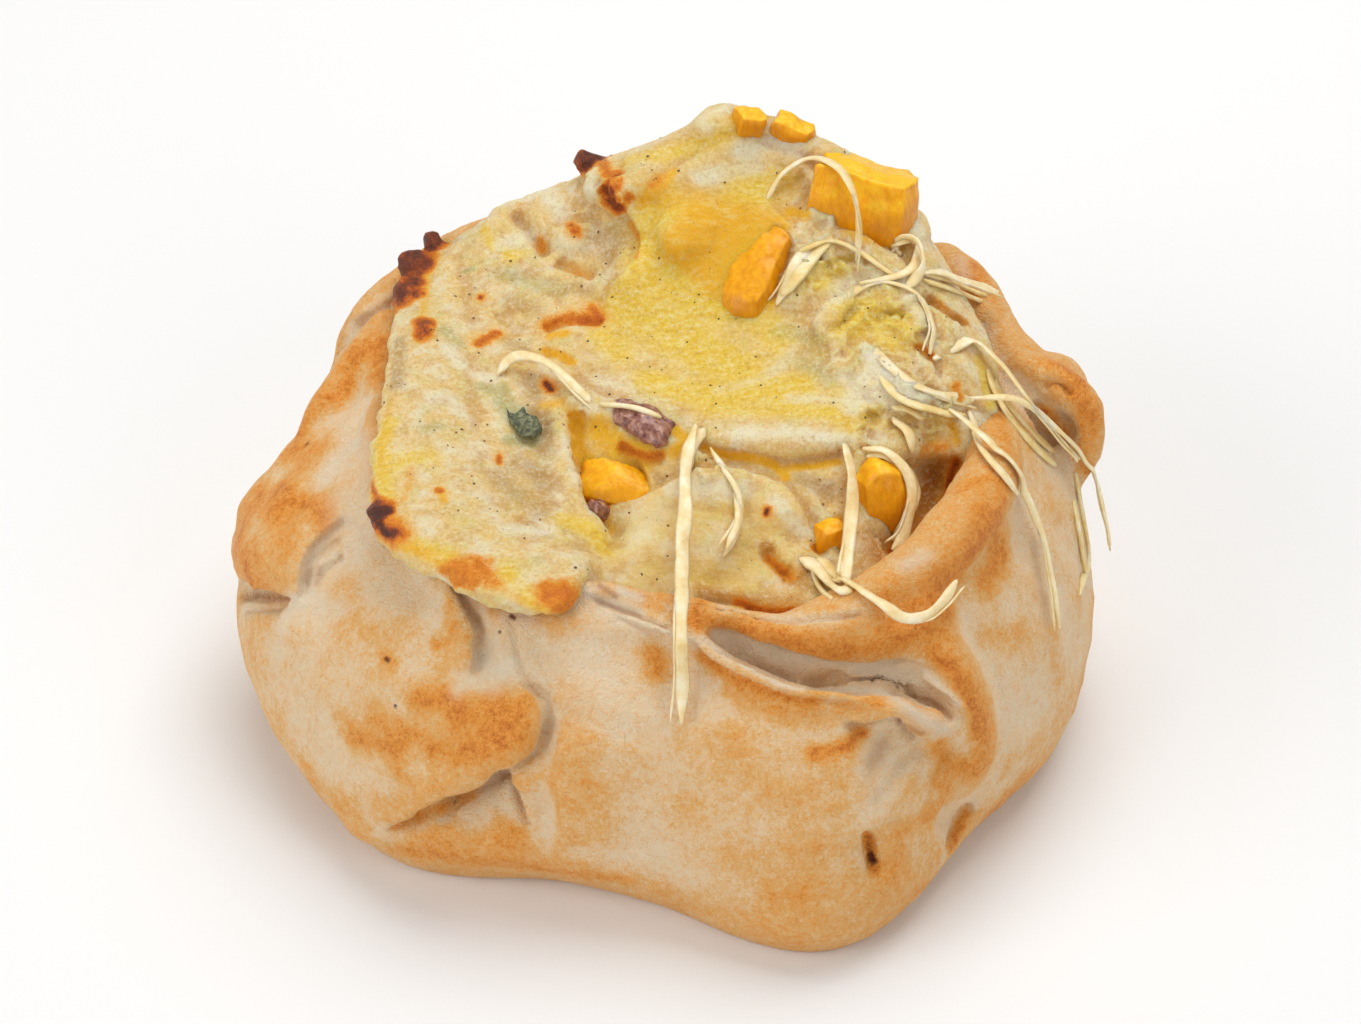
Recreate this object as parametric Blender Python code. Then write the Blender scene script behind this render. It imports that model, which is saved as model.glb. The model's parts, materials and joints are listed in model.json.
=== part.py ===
"""A baked corn empanada of the open basket kind: a round of dough pinched up at its corners
round a heap of creamy filling, with cheese melted over it. Metres, +Z up, foot at z = 0."""

import math
from typing import NamedTuple

import bmesh
import bpy
import numpy as np
from mathutils import Euler, Vector
from mathutils.bvhtree import BVHTree
from mathutils.kdtree import KDTree

MM = 0.001
GAP = 0.45
CRUST_VOXEL = 0.5
FILLING_VOXEL = 0.8
CRUST_TRIANGLES = 4700
FILLING_TRIANGLES = 2300


class Station(NamedTuple):
    """The dough wall in one direction, in millimetres and degrees."""

    angle: float
    foot: float
    belly: float
    belly_height: float
    rim: float
    rim_height: float


# Corners and the panels between them, counterclockwise from the front right corner.
STATIONS = (
    Station(-67, 42.0, 43.5, 8, 29.0, 31),
    Station(-40, 38.0, 41.0, 9, 32.0, 33),
    Station(-12, 41.0, 44.0, 9, 35.5, 34),
    Station(8, 42.0, 45.5, 12, 38.5, 34),
    Station(38, 40.0, 43.0, 14, 39.0, 35),
    Station(70, 39.0, 42.5, 14, 38.0, 38),
    Station(105, 39.0, 42.5, 14, 38.5, 39),
    Station(142, 40.0, 44.5, 16, 38.5, 35),
    Station(160, 39.0, 43.0, 15, 33.0, 34),
    Station(178, 41.0, 44.6, 15, 30.5, 34),
    Station(202, 38.5, 42.3, 11, 28.5, 32),
    Station(224, 37.5, 39.0, 8, 28.0, 31),
    Station(250, 30.5, 35.0, 11, 25.5, 31),
    Station(270, 32.5, 35.0, 11, 24.0, 31),
)
FLOOR_THICK = 5.0
WALL_THICK = 5.0
RIM_ROLL = 2.6

# Spots on the top of the filling, in millimetres: the ridge at the back and the slope below it,
# the melted pool, the ledge in front of the pool, the left, the right and the back.
HEAP = (
    (-4.4, 30.7, 49.0), (6.2, 30.2, 55.0), (11.2, 30.0, 54.0), (14.4, 29.7, 53.0), (17.7, 28.2, 52.0),
    (24.0, 25.8, 48.8), (27.4, 19.6, 44.0), (-1.2, 25.2, 49.0), (3.9, 26.0, 51.0), (9.1, 27.1, 51.5),
    (14.4, 26.5, 50.0), (-2.3, 21.5, 44.0), (10.1, 21.3, 48.0), (22.6, 20.5, 46.0), (-2.3, 16.2, 41.5),
    (-1.2, 12.0, 39.5), (22.2, 6.6, 41.0), (5.9, 3.9, 38.0), (17.9, 0.9, 39.0), (23.9, 0.3, 39.5),
    (-2.2, -1.0, 37.3), (9.8, -3.1, 37.7), (19.8, -4.4, 37.5),
    (-6.2, -5.1, 33.5), (2.8, -7.3, 34.0), (16.8, -9.0, 33.5), (-4.2, -12.6, 32.0), (1.8, -13.2, 32.5),
    (17.6, -14.5, 31.0), (3.7, -17.9, 30.0),
    (-21.8, 10.5, 38.0), (-21.2, -5.6, 36.0), (-12.1, -10.0, 35.0), (-9.1, -15.0, 33.6),
    (-17.9, -15.6, 33.6), (-24.9, 10.5, 36.6), (-23.4, 23.1, 38.6), (-19.2, 26.8, 41.5),
    (-15.1, 30.1, 43.0), (-8.6, 25.8, 43.5), (-7.5, 20.3, 41.0),
    (26.0, -4.1, 34.0), (29.0, -1.4, 37.0), (30.4, 8.9, 40.5), (31.3, 4.9, 38.5),
    (-3.0, 35.4, 42.5), (5.0, 36.0, 43.0), (13.0, 34.6, 43.0), (21.0, 31.5, 42.0), (28.0, 27.0, 41.0),
    (31.0, 21.0, 39.5), (-18.0, 31.0, 40.5),
)
# How much further than the rim's inner edge the filling bulges, by direction in degrees.
REACH = ((0, 0.0), (30, 1.0), (48, 2.4), (65, 1.2), (90, 0.4), (130, 0.4), (180, 0.0), (270, 0.0))
# The melted cheese over the left of the rim, line by line from the inside out.
SLAB = (
    (
        (-18, 25.5, 38.2), (-18.5, 19, 38), (-19.5, 11, 37.2), (-19.5, 3, 36.2), (-18, -5, 35),
        (-14.5, -11, 33.6), (-10.5, -14.5, 32.8), (-6.5, -16.5, 32),
    ),
    (
        (-22, 27, 38.6), (-23.8, 19.5, 38.2), (-24.6, 9, 37.8), (-24.8, -3, 36.4), (-23.4, -10.5, 35.2),
        (-18.2, -16.2, 34.2), (-12.8, -19.4, 33.6), (-7, -19.4, 33.2),
    ),
    (
        (-24.6, 28.2, 37.4), (-27.6, 20.6, 36.9), (-28.5, 6.8, 36.7), (-29, -7.5, 35),
        (-28.4, -13.6, 33.2), (-21.2, -20.2, 32.4), (-14.2, -24, 32.2), (-8.6, -23.4, 32.4),
    ),
)
# Lumps in the filling: where in plan, half sizes along and across, height out of it, and turn.
LUMPS = (
    (6.2, 29.4, 3.4, 2.6, 1.0, 20), (9.4, 29.4, 2.6, 1.9, 0.7, -30), (13.6, 28.4, 3.6, 2.2, 0.7, -25),
    (-4.6, 28.6, 4.4, 2.8, 0.7, 40), (-0.4, 26.6, 4.2, 2.6, 0.6, 30), (3.8, 22.6, 6.2, 3.6, 0.9, 62),
    (-2.2, 20.6, 5.2, 3.0, 0.7, 80), (0.6, 15.8, 4.2, 2.4, 0.4, 20), (25.2, 22.6, 3.4, 2.8, 0.9, -60),
    (26.6, 19.0, 3.4, 2.4, 0.8, -70), (22.6, 16.6, 4.6, 2.4, 0.7, -10), (16.4, 15.0, 4.0, 2.2, 0.6, 20),
    (27.4, 12.0, 4.0, 2.6, 0.8, -40), (29.6, 6.4, 3.6, 2.4, 0.6, -70), (24.4, 3.2, 4.2, 2.6, 0.5, 15),
    (22.6, -2.4, 3.2, 2.2, 0.6, -20), (-15.4, 28.4, 4.2, 2.8, 0.8, 35), (-10.8, 29.4, 3.6, 2.4, 0.7, -10),
    (-8.8, 25.8, 3.2, 2.4, 0.6, 60), (-14.2, 23.2, 4.2, 2.6, 0.7, 10), (-8.6, 20.2, 3.6, 2.4, 0.6, -30),
    (-17.6, 19.2, 3.6, 2.4, 0.7, 75), (-12.2, 15.4, 3.8, 2.4, 0.6, 30), (-19.4, 12.0, 4.0, 2.6, 0.6, 70),
    (-15.6, 6.8, 3.8, 2.6, 0.5, 15), (-19.0, -1.8, 3.8, 2.6, 0.6, 80), (-14.0, -3.4, 4.2, 2.6, 0.7, -20),
    (-10.6, 2.4, 3.4, 2.2, 0.6, 40), (-16.6, -9.6, 3.6, 2.6, 0.6, 50), (-11.2, -7.4, 4.2, 2.6, 0.8, -50),
    (-13.0, -14.6, 3.6, 2.2, 0.5, 30), (-8.0, -11.6, 3.2, 2.2, 0.7, -40), (-1.4, -12.2, 6.2, 4.4, 1.8, 15),
    (4.8, -11.4, 6.6, 4.8, 2.0, -10), (10.4, -13.2, 5.0, 3.8, 1.4, -35), (12.4, -8.2, 4.8, 3.4, 1.2, 20),
    (16.8, -9.0, 3.8, 2.8, 0.8, -60), (7.0, -17.4, 4.6, 2.8, 0.8, 0), (18.0, -14.8, 4.0, 2.8, 0.9, 30),
    (1.4, -16.6, 4.4, 2.8, 0.7, -10), (2.0, -1.6, 5.0, 2.0, 0.7, -12), (11.4, -2.6, 5.6, 2.0, 0.8, -4),
)
# Browned knobs on the edges of the cheese: centre and half sizes.
NUBS = (
    ((-24.4, 27.6, 39.4), (1.2, 1.3, 1.3)), ((-26.2, 24.2, 38.8), (1.9, 1.9, 1.7)),
    ((-26.6, 20.0, 38.4), (1.6, 1.9, 1.5)), ((-24.6, 12.6, 38.8), (0.9, 1.6, 1.0)),
    ((-28.0, -11.8, 34.6), (1.4, 1.4, 1.2)), ((-18.6, -19.6, 33.8), (2.2, 1.6, 1.2)),
    ((-10.2, -22.6, 33.2), (1.9, 1.7, 1.2)), ((-7.6, 31.0, 47.4), (1.9, 1.2, 1.2)),
    ((-4.4, 25.6, 47.2), (1.5, 1.5, 1.6)),
)
# The middle of the whole thing's bounding box in plan, which becomes the origin.
CENTRE = (1.0, 1.67, 0.0)
# Linear colour and roughness of each part.
SQUASH = ((0.90, 0.42, 0.02), 0.35)
ONION = ((0.30, 0.12, 0.09), 0.30)
LOOKS = {
    "pastry_case": ((0.80, 0.58, 0.36), 0.55),
    "filling": ((0.84, 0.72, 0.36), 0.35),
    "squash_top": SQUASH,
    "squash_slope": SQUASH,
    "squash_right": SQUASH,
    "squash_front": SQUASH,
    "squash_low": SQUASH,
    "squash_ridge_left": SQUASH,
    "squash_ridge_right": SQUASH,
    "onion_piece": ONION,
    "onion_bit": ONION,
    "herb_leaf": ((0.03, 0.06, 0.02), 0.50),
}
# Pieces that lie in the filling: centre, size and turn in degrees.
CHUNKS = {
    "squash_top": ((20.6, 23.4, 47.4), (10.4, 7.0, 8.6), (-18, 6, -10)),
    "squash_slope": ((10.0, 16.8, 43.8), (5.4, 9.8, 4.4), (28, 0, -32)),
    "squash_right": ((21.9, -7.0, 32.8), (4.6, 4.2, 7.4), (-12, -8, 18)),
    "squash_front": ((-4.6, -4.2, 33.2), (8.6, 5.2, 5.2), (24, 4, -18)),
    "squash_low": ((16.5, -11.7, 31.6), (3.0, 3.2, 4.8), (-10, 14, 20)),
    "squash_ridge_left": ((8.9, 28.4, 54.4), (3.0, 2.8, 2.6), (0, 12, 20)),
    "squash_ridge_right": ((13.6, 28.6, 53.4), (4.2, 2.6, 2.2), (0, 16, -12)),
    "onion_piece": ((-2.0, -0.4, 37.9), (6.4, 3.2, 2.0), (0, 8, -36)),
    "onion_bit": ((-6.3, -9.3, 33.4), (2.2, 1.7, 1.5), (0, 30, 40)),
    "herb_leaf": ((-14.3, 0.5, 37.3), (2.2, 4.4, 0.9), (0, 10, 25)),
}
# Strips of grated cheese: width, then points along each.
SHREDS = {
    "left_arch": (1.3, (
        (-16.8, 6, 38.4), (-15.6, 7, 39.3), (-14, 7.2, 39.9), (-11.6, 6.4, 39.5), (-8.6, 3.4, 38.4),
        (-5.8, 1.4, 37.2),
    )),
    "long_hanging": (1.6, (
        (3.4, -1.6, 37.8), (2.6, -5, 37.2), (2.3, -9.5, 36.6), (2.2, -13.4, 35.2), (2, -17.4, 33.6),
        (2, -22, 33.4), (1.9, -26.8, 31.6), (2, -29.4, 27.6), (1.9, -31.4, 24.8),
    )),
    "small_hanging": (0.8, ((5, -4.4, 37.2), (7.2, -8.4, 35.4), (7.6, -12.6, 34.6), (6.4, -15.4, 33.4))),
    "right_arch": (1.3, (
        (20.2, -4.6, 37.2), (22.4, -5.2, 37.4), (24.2, -6.6, 36.2), (25, -8.4, 34), (24.2, -10.6, 31.6),
        (22.8, -12.2, 30.6),
    )),
    "upright": (1.5, (
        (18.2, -3.6, 37.9), (18.8, -8, 36.2), (18.8, -12, 34.4), (18, -16.2, 32.6), (18, -19.4, 32.4),
    )),
    "rim_curl": (1.3, (
        (16.8, -17.6, 31), (18.8, -21, 33.2), (21.4, -23.2, 33), (23.4, -24.2, 32), (25.6, -23.6, 31.8),
        (27.4, -22, 32.4), (28.6, -20.2, 33.2),
    )),
    "top_arch": (1.3, (
        (10.6, 22.4, 48.2), (12.6, 24.2, 50.6), (15.4, 24.4, 52.4), (18.2, 22, 52.8), (19.8, 19, 51),
        (20.2, 17.2, 48), (20, 16, 44.4),
    )),
    "slope_strip": (1.5, ((15.6, 18, 46), (14.6, 16.4, 46), (13.2, 14, 44.8), (11.8, 12.2, 42.6))),
    "right_curl": (1.3, (
        (23.4, 17.8, 44.4), (24.6, 18.6, 46.4), (26.4, 17.6, 46.6), (26.8, 15.4, 45), (24.6, 13.6, 43.8),
        (21.2, 14, 43.2),
    )),
    "back_strip": (1.5, ((25.6, 16.2, 43.6), (28.6, 16.8, 43.4), (31.6, 17.6, 41.6), (35, 18.6, 39.4))),
    "slope_arch": (1.2, (
        (15.8, 8.6, 41), (17.8, 11.2, 43.4), (22, 13.2, 44.6), (25.8, 12.4, 44), (27.6, 9, 42.2),
        (27.2, 6.6, 40.6),
    )),
    "ear_strip": (1.6, (
        (27.6, 6, 40.4), (31.4, 9, 40.4), (34.2, 7, 39.2), (37, 3.8, 37.2), (40, 3.4, 33), (43, 3.6, 29.4),
    )),
    "right_long": (1.2, (
        (27.4, 1, 39), (30.4, -1.6, 38.6), (33, -5, 38), (36, -7.4, 34), (38.2, -8.8, 29.4),
        (39.2, -11.6, 25.8), (40, -14.2, 21.8),
    )),
    "side_hanging": (1.0, (
        (30.4, 2.2, 38), (35.6, 2.6, 38), (40.4, 3.2, 33.6), (43.8, 3.6, 28.6), (45.8, 3.2, 23.4),
        (46.8, 2.6, 18.4),
    )),
    "tuft_strip": (1.5, (
        (20.8, 8, 40.8), (22.6, 3.6, 41.8), (25.4, 1, 41), (28.4, 0.6, 39.8), (31.4, 1.8, 38.2),
    )),
}


class Fold(NamedTuple):
    """A fold pressed into the dough along a line of (angle, height) points on the wall.

    The dough on the left of the line, seen from outside, stands rise higher and dies away over
    reach. A groove of depth dip and half width groove runs along its foot. A negative dip is a
    ridge. edge is how sharp the step is."""

    line: tuple
    rise: float = 0.0
    dip: float = 0.0
    edge: float = 1.0
    groove: float = 1.2
    reach: float = 8.0


FOLDS = {
    "hollow under the flap": Fold(((249, 15.5), (243, 13.8), (236, 10.5)), dip=1.8, groove=2.0),
    "crease under the lobe": Fold(
        ((248.5, 25.3), (250.2, 23.2), (249.3, 20.6), (245.6, 18.4), (239, 14.6), (232, 10.4), (227, 7.2)),
        dip=1.0, groove=0.8,
    ),
    "crease beside the flap": Fold(
        ((226.5, 31.2), (230, 29.2), (234.4, 26.8), (235, 25.4)), dip=1.1, groove=0.8
    ),
    "second layer": Fold(((238, 31.5), (242, 28.9), (246, 26.6), (249.5, 24.2)), dip=0.8, groove=0.8),
    "front panel beside the flap": Fold(
        ((251, 24), (251.5, 19), (252, 14), (253, 9)), rise=0.8, dip=0.5, edge=1.6, reach=6
    ),
    "pocket above the lip": Fold(
        ((279, 31.3), (289, 30.2), (296, 28.6), (304, 27.8), (311, 26.6), (317, 22.8)), dip=4.2, groove=1.4
    ),
    "dent below the corner": Fold(((312, 12), (315, 9), (320, 8)), dip=1.6, groove=1.6),
    "scorch dent": Fold(((298.3, 15.0), (298.6, 12.2), (299.0, 9.8)), dip=0.9, groove=1.2),
    "wrinkle under the lip": Fold(((300.5, 24.4), (302.8, 22.4), (303.5, 19.4)), dip=0.8, groove=1.2),
    "second wrinkle": Fold(((305.0, 24.0), (306.6, 21.4), (306.4, 18.4)), dip=0.7, groove=1.1),
    "third wrinkle": Fold(((309.5, 23.0), (310.6, 20.0), (311.0, 16.0)), dip=0.6, groove=1.2),
    "left corner crease": Fold(
        ((176, 14.6), (182, 16.4), (188, 18.2), (193, 20.8), (197.6, 22.6)), dip=1.2, groove=0.8
    ),
    "first pleat": Fold(((198.6, 22.4), (195.8, 25.4), (193.2, 27.4), (192.0, 29.8)), dip=0.9, groove=0.7),
    "second pleat": Fold(((201.4, 22.6), (199, 25.4), (197, 27.6), (196, 30)), dip=0.7, groove=0.7),
    "curve below the pleats": Fold(
        ((197, 21.6), (201, 22.6), (204.5, 25.2), (205.5, 28.4)), dip=0.5, groove=1.0
    ),
    "left ridge": Fold(((176, 19), (171, 23), (165, 27), (158, 31)), dip=-1.0, groove=2.4),
    "valley behind it": Fold(((161, 15), (157, 22), (152, 28), (146, 33)), dip=1.8, groove=1.7),
    "crease beside the cheese": Fold(((186, 25), (180, 29), (172, 32), (160, 34)), dip=0.9, groove=1.3),
    "right corner crease": Fold(((344, 31), (346, 26), (347.5, 20)), dip=0.7, groove=1.8),
    "second right crease": Fold(((353, 28), (356, 21), (355, 14)), dip=0.6, groove=2.0),
    "back right crease": Fold(((50, 34), (48, 25), (49, 16), (53, 9)), rise=0.6, dip=0.9, groove=0.9),
    "back crease": Fold(((86, 37), (84, 27), (87, 18), (84, 10)), rise=0.4, dip=0.9, groove=0.9),
    "back left crease": Fold(((109, 37), (111, 28), (107, 18), (113, 10)), dip=0.9, groove=0.9),
    "right side crease": Fold(((22, 34), (18, 27), (16, 18), (19, 11)), dip=0.8, groove=1.4),
}
# Small hollows: centre, depth and half width.
DENTS = (
    ((41.6, 6.2, 31.4), 2.2, 1.5), ((31.0, -28.4, 7.8), 1.2, 1.8), ((-12.6, -32.4, 14.4), 1.0, 1.6),
    ((33.4, 22.4, 35.0), 1.2, 1.6), ((-33.0, 10.6, 31.0), 0.8, 1.4),
)


class Flap(NamedTuple):
    """A layer of dough laid over the wall. root and free are lines of (angle, height) points;
    the layer is sunk at the root and stands lift off the wall at its free edge."""

    root: tuple
    free: tuple
    lift: float = 1.5


FLAPS = {
    "front_left_flap": Flap(
        root=((216, 5), (205, 10), (199, 18), (202, 26), (209, 31)),
        free=(
            (226, 7.0), (232.5, 11.2), (238.5, 15.0), (244.6, 18.8), (248.2, 21.0), (249, 23.2),
            (246, 24.9), (241, 25.4), (236.5, 25.4), (233.4, 26.2), (229.6, 28.8), (225.5, 31.0),
        ),
        lift=1.7,
    ),
    "left_corner_flap": Flap(
        root=((156, 17), (159, 24), (166, 29), (176, 33)),
        free=(
            (164, 12.0), (173, 14.2), (181, 16.6), (187, 18.6), (192, 21.2), (196.6, 23.2), (195, 25.6),
            (192.6, 27.6), (191.0, 31.0),
        ),
        lift=1.3,
    ),
    "back_right_pleat": Flap(
        root=((20, 8), (14, 18), (18, 28), (28, 34)),
        free=((50, 8), (47, 16), (44, 24), (45, 34)),
    ),
    "back_pleat": Flap(
        root=((60, 9), (56, 18), (60, 28), (66, 36)),
        free=((84, 9), (88, 17), (84, 27), (86, 37)),
    ),
    "back_left_pleat": Flap(
        root=((132, 34), (139, 27), (142, 18), (138, 9)),
        free=((110, 37), (112, 28), (108, 18), (114, 9)),
    ),
}

# Rolls of dough: points along each and radii spread evenly from end to end.
ROLLS = {
    "right_roll": (
        (
            (17.5, -21.5, 30.8), (23.5, -18.8, 32.4), (28.6, -14, 33.4), (32.4, -7, 34.2),
            (33.6, -0.5, 34.2), (34, 6, 33.4),
        ),
        (1.8, 2.8, 3.4, 3.3, 2.9, 2.4),
    ),
    "corner_seam": (
        ((24.4, -20.6, 29.4), (27.4, -22.2, 25.4), (29.2, -23.2, 20), (29.4, -24.2, 15), (28.2, -25.2, 10)),
        (2.2, 3.2, 3.9, 4.0, 3.4),
    ),
    "rim_band": (
        (
            (-1, -20.8, 31.6), (4.5, -22.4, 31), (10, -23.4, 29.8), (15, -23.8, 29), (20, -23.4, 28.8),
            (24.6, -21.8, 29.2), (27.6, -20, 29.6),
        ),
        (0.8, 1.5, 1.9, 2.0, 2.0, 2.1, 1.8),
    ),
    "front_lip": (
        (
            (-6, -22, 31), (0.5, -24.6, 30.8), (5.5, -26.8, 30), (10.3, -28.9, 28), (14, -29.9, 26.8),
            (18.4, -29.9, 26.4), (22.8, -29.4, 25), (26.2, -28.6, 22.6), (29.4, -27, 19.4),
        ),
        (0.7, 1.0, 1.1, 1.2, 1.3, 1.3, 1.4, 1.5, 1.0),
    ),
    "rim_layer": (
        ((-10.5, -19, 32), (-6, -20.6, 32.6), (-0.5, -21.4, 32), (5, -21.6, 31.2)), (0.8, 1.0, 0.9, 0.6),
    ),
    "right_ear_edge": (
        (
            (36.6, 11.5, 35.4), (39.6, 8.4, 36.2), (43, 7, 33.6), (43.4, 5.6, 29), (41.2, 4.6, 25),
            (39, 5, 26.5),
        ),
        (1.6, 2.1, 2.3, 2.2, 1.6, 1.0),
    ),
    "back_right_edge": (
        ((26, 29, 35.6), (29.8, 26.4, 36.8), (32.8, 22.8, 35.8), (35.2, 18, 34), (37.2, 13.5, 33.6)),
        (1.6, 2.9, 3.1, 2.8, 3.0),
    ),
    "back_left_fold": (
        (
            (-33, 17.5, 22), (-32.8, 21, 28), (-29.6, 24.2, 32.2), (-24.4, 27.2, 35.2), (-18.6, 30.2, 37),
            (-11, 32.6, 38),
        ),
        (2.0, 2.8, 3.2, 3.2, 3.0, 2.4),
    ),
    "left_fold": (
        ((-37, 3, 22), (-35.4, 10, 26.5), (-32.6, 16, 31), (-28.6, 20.5, 34.6)), (1.6, 2.2, 2.2, 1.8),
    ),
}
# Lumps of dough: centre, half sizes and turn in degrees.
EARS = {
    "right_ear": ((39.6, 10.8, 31.0), (5.0, 4.6, 5.8), (0, 20, 0)),
    "front_left_foot": ((-26.5, -21.6, 7.0), (7.5, 7.0, 6.6), (0, 0, 0)),
    "back_ear": ((12.0, 34.8, 36.6), (8.0, 2.8, 3.8), (0, 8, -16)),
}


def around(angles, values, at):
    """Smooth closed curve of values at some angles, read at other angles, all in degrees."""
    knots = np.array([*angles, angles[0] + 360.0])
    data = np.array([*values, values[0]], float)
    wrapped = (np.asarray(at, float) - knots[0]) % 360.0 + knots[0]
    span = np.clip(np.searchsorted(knots, wrapped, side="right") - 1, 0, len(angles) - 1)
    width = np.diff(knots)
    slope = np.diff(data) / width
    before = np.roll(slope, 1)
    tangent = (before * width + slope * np.roll(width, 1)) / (width + np.roll(width, 1))
    tangent = np.append(tangent, tangent[0])
    t = (wrapped - knots[span]) / width[span]
    h = width[span]
    return (
        data[span] * (2 * t**3 - 3 * t**2 + 1)
        + tangent[span] * h * (t**3 - 2 * t**2 + t)
        + data[span + 1] * (3 * t**2 - 2 * t**3)
        + tangent[span + 1] * h * (t**3 - t**2)
    )


def cut_corners(points, times=3):
    """Rounds an open outline by cutting its corners again and again."""
    points = np.asarray(points, float)
    for _ in range(times):
        near = points[:-1] * 0.75 + points[1:] * 0.25
        far = points[:-1] * 0.25 + points[1:] * 0.75
        middle = np.stack([near, far], axis=1).reshape(-1, points.shape[1])
        points = np.concatenate([points[:1], middle, points[-1:]])
    return points


def even_steps(points, count):
    """The same line with count points at even steps along it."""
    lengths = np.concatenate([[0], np.cumsum(np.linalg.norm(np.diff(points, axis=0), axis=1))])
    at = np.linspace(0, lengths[-1], count)
    return np.stack([np.interp(at, lengths, points[:, k]) for k in range(points.shape[1])], axis=1)


def through(points, per_span=8):
    """A smooth line through all the points (a Catmull-Rom spline)."""
    p = np.asarray(points, float)
    p = np.concatenate([2 * p[:1] - p[1:2], p, 2 * p[-1:] - p[-2:-1]])
    t = np.linspace(0, 1, per_span, endpoint=False)[:, None]
    out = []
    for a, b, c, d in zip(p[:-3], p[1:-2], p[2:-1], p[3:], strict=True):
        square = 2 * a - 5 * b + 4 * c - d
        cube = 3 * b - a - 3 * c + d
        out.append(0.5 * (2 * b + (c - a) * t + square * t**2 + cube * t**3))
    return np.concatenate([*out, p[-2:-1]])


def basket_profile(foot, belly, belly_height, rim, rim_height):
    """Radius and height from the middle of the base, up the outside, over the rim and down inside."""
    inner = rim - 2 * RIM_ROLL
    return np.array(
        [
            (0, -1.2),
            (foot * 0.5, -1.2),
            (foot - 4, -1.2),
            (foot - 0.6, -0.6),
            (belly * 0.5 + foot * 0.5 + 0.8, belly_height * 0.35),
            (belly + 0.8, belly_height),
            (belly * 0.62 + rim * 0.38 + 1.2, belly_height * 0.4 + rim_height * 0.6),
            (rim + 0.6, rim_height - 2.5),
            (rim - 0.3, rim_height + 0.6),
            (inner, rim_height + 0.3),
            (inner - 1, rim_height - 4),
            (min(belly - WALL_THICK, inner + 1), rim_height * 0.5),
            (foot - WALL_THICK - 3, FLOOR_THICK + 1),
            (foot * 0.5, FLOOR_THICK),
            (0, FLOOR_THICK),
        ]
    )


def wall_fields(angles):
    """The station values at some angles in degrees."""
    names = [s.angle for s in STATIONS]
    return [around(names, [getattr(s, f) for s in STATIONS], angles) for f in Station._fields[1:]]


def on_wall(angle_heights):
    """Points on the wall's outside at (angle, height) pairs, up to the top of the rim."""
    pairs = np.asarray(angle_heights, float).reshape(-1, 2)
    points = np.empty((len(pairs), 3))
    fields = wall_fields(pairs[:, 0])
    for k, (angle, height) in enumerate(pairs):
        line = cut_corners(basket_profile(*[f[k] for f in fields]))
        top = int(np.argmax(line[:, 1]))
        low = int(np.argmax(line[:top, 1] > -0.9))
        radius = np.interp(height, line[low : top + 1, 1], line[low : top + 1, 0])
        turn = math.radians(angle)
        points[k] = (radius * math.cos(turn), radius * math.sin(turn), min(height, line[top, 1]))
    return points


def link(name, points, faces):
    """A new mesh object from points in millimetres."""
    mesh = bpy.data.meshes.new(name)
    mesh.from_pydata((np.asarray(points) * MM).tolist(), [], faces)
    mesh.update()
    obj = bpy.data.objects.new(name, mesh)
    bpy.context.collection.objects.link(obj)
    return obj


def ringed(name, grid):
    """A closed mesh from grid[ring, step, xyz], whose first and last steps each meet at a pole."""
    turns, steps, _ = grid.shape
    inner = steps - 2
    poles = grid[:, [0, -1]].mean(axis=0)
    points = np.concatenate([grid[:, 1:-1].reshape(-1, 3), poles])
    faces = []
    for k in range(turns):
        n = (k + 1) % turns
        for j in range(inner - 1):
            faces.append((k * inner + j, n * inner + j, n * inner + j + 1, k * inner + j + 1))
        faces.append((turns * inner, n * inner, k * inner))
        faces.append((turns * inner + 1, k * inner + inner - 1, n * inner + inner - 1))
    return link(name, points, faces)


def basket_shell(turns=144, steps=90):
    """The plain wall and base, before the folds."""
    angles = np.arange(turns) * 360.0 / turns
    fields = wall_fields(angles)
    grid = np.empty((turns, steps, 3))
    for k, angle in enumerate(np.radians(angles)):
        radius, height = even_steps(cut_corners(basket_profile(*[f[k] for f in fields])), steps).T
        grid[k] = np.stack([radius * math.cos(angle), radius * math.sin(angle), height], axis=1)
    return ringed("shell", grid)


def roll(name, points, radii, flat=1.0, sides=12, up=(0, 0, 1)):
    """A round-ended roll of dough through the points. flat below 1 thins it along up."""
    line = through(points, 6)
    count = len(line)
    size = np.interp(np.linspace(0, 1, count), np.linspace(0, 1, len(radii)), radii)
    tangent = np.gradient(line, axis=0)
    tangent /= np.linalg.norm(tangent, axis=1)[:, None]
    side = np.cross(tangent, np.asarray(up, float))
    side /= np.linalg.norm(side, axis=1)[:, None]
    over = np.cross(side, tangent)
    cap = 4
    bend = np.linspace(0, np.pi / 2, cap + 1)[:-1]
    rings = [(0, math.sin(b) - 1, math.sin(b)) for b in bend]
    rings += [(k, 0.0, 1.0) for k in range(count)]
    rings += [(count - 1, 1 - math.sin(b), math.sin(b)) for b in bend[::-1]]
    turn = -np.arange(sides) * 2 * np.pi / sides
    grid = np.empty((sides, len(rings), 3))
    for j, (k, along, wide) in enumerate(rings):
        centre = line[k] + tangent[k] * size[k] * along * 0.9
        grid[:, j] = (
            centre
            + np.cos(turn)[:, None] * side[k] * size[k] * wide
            + np.sin(turn)[:, None] * over[k] * size[k] * wide * flat
        )
    return ringed(name, grid)


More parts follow.
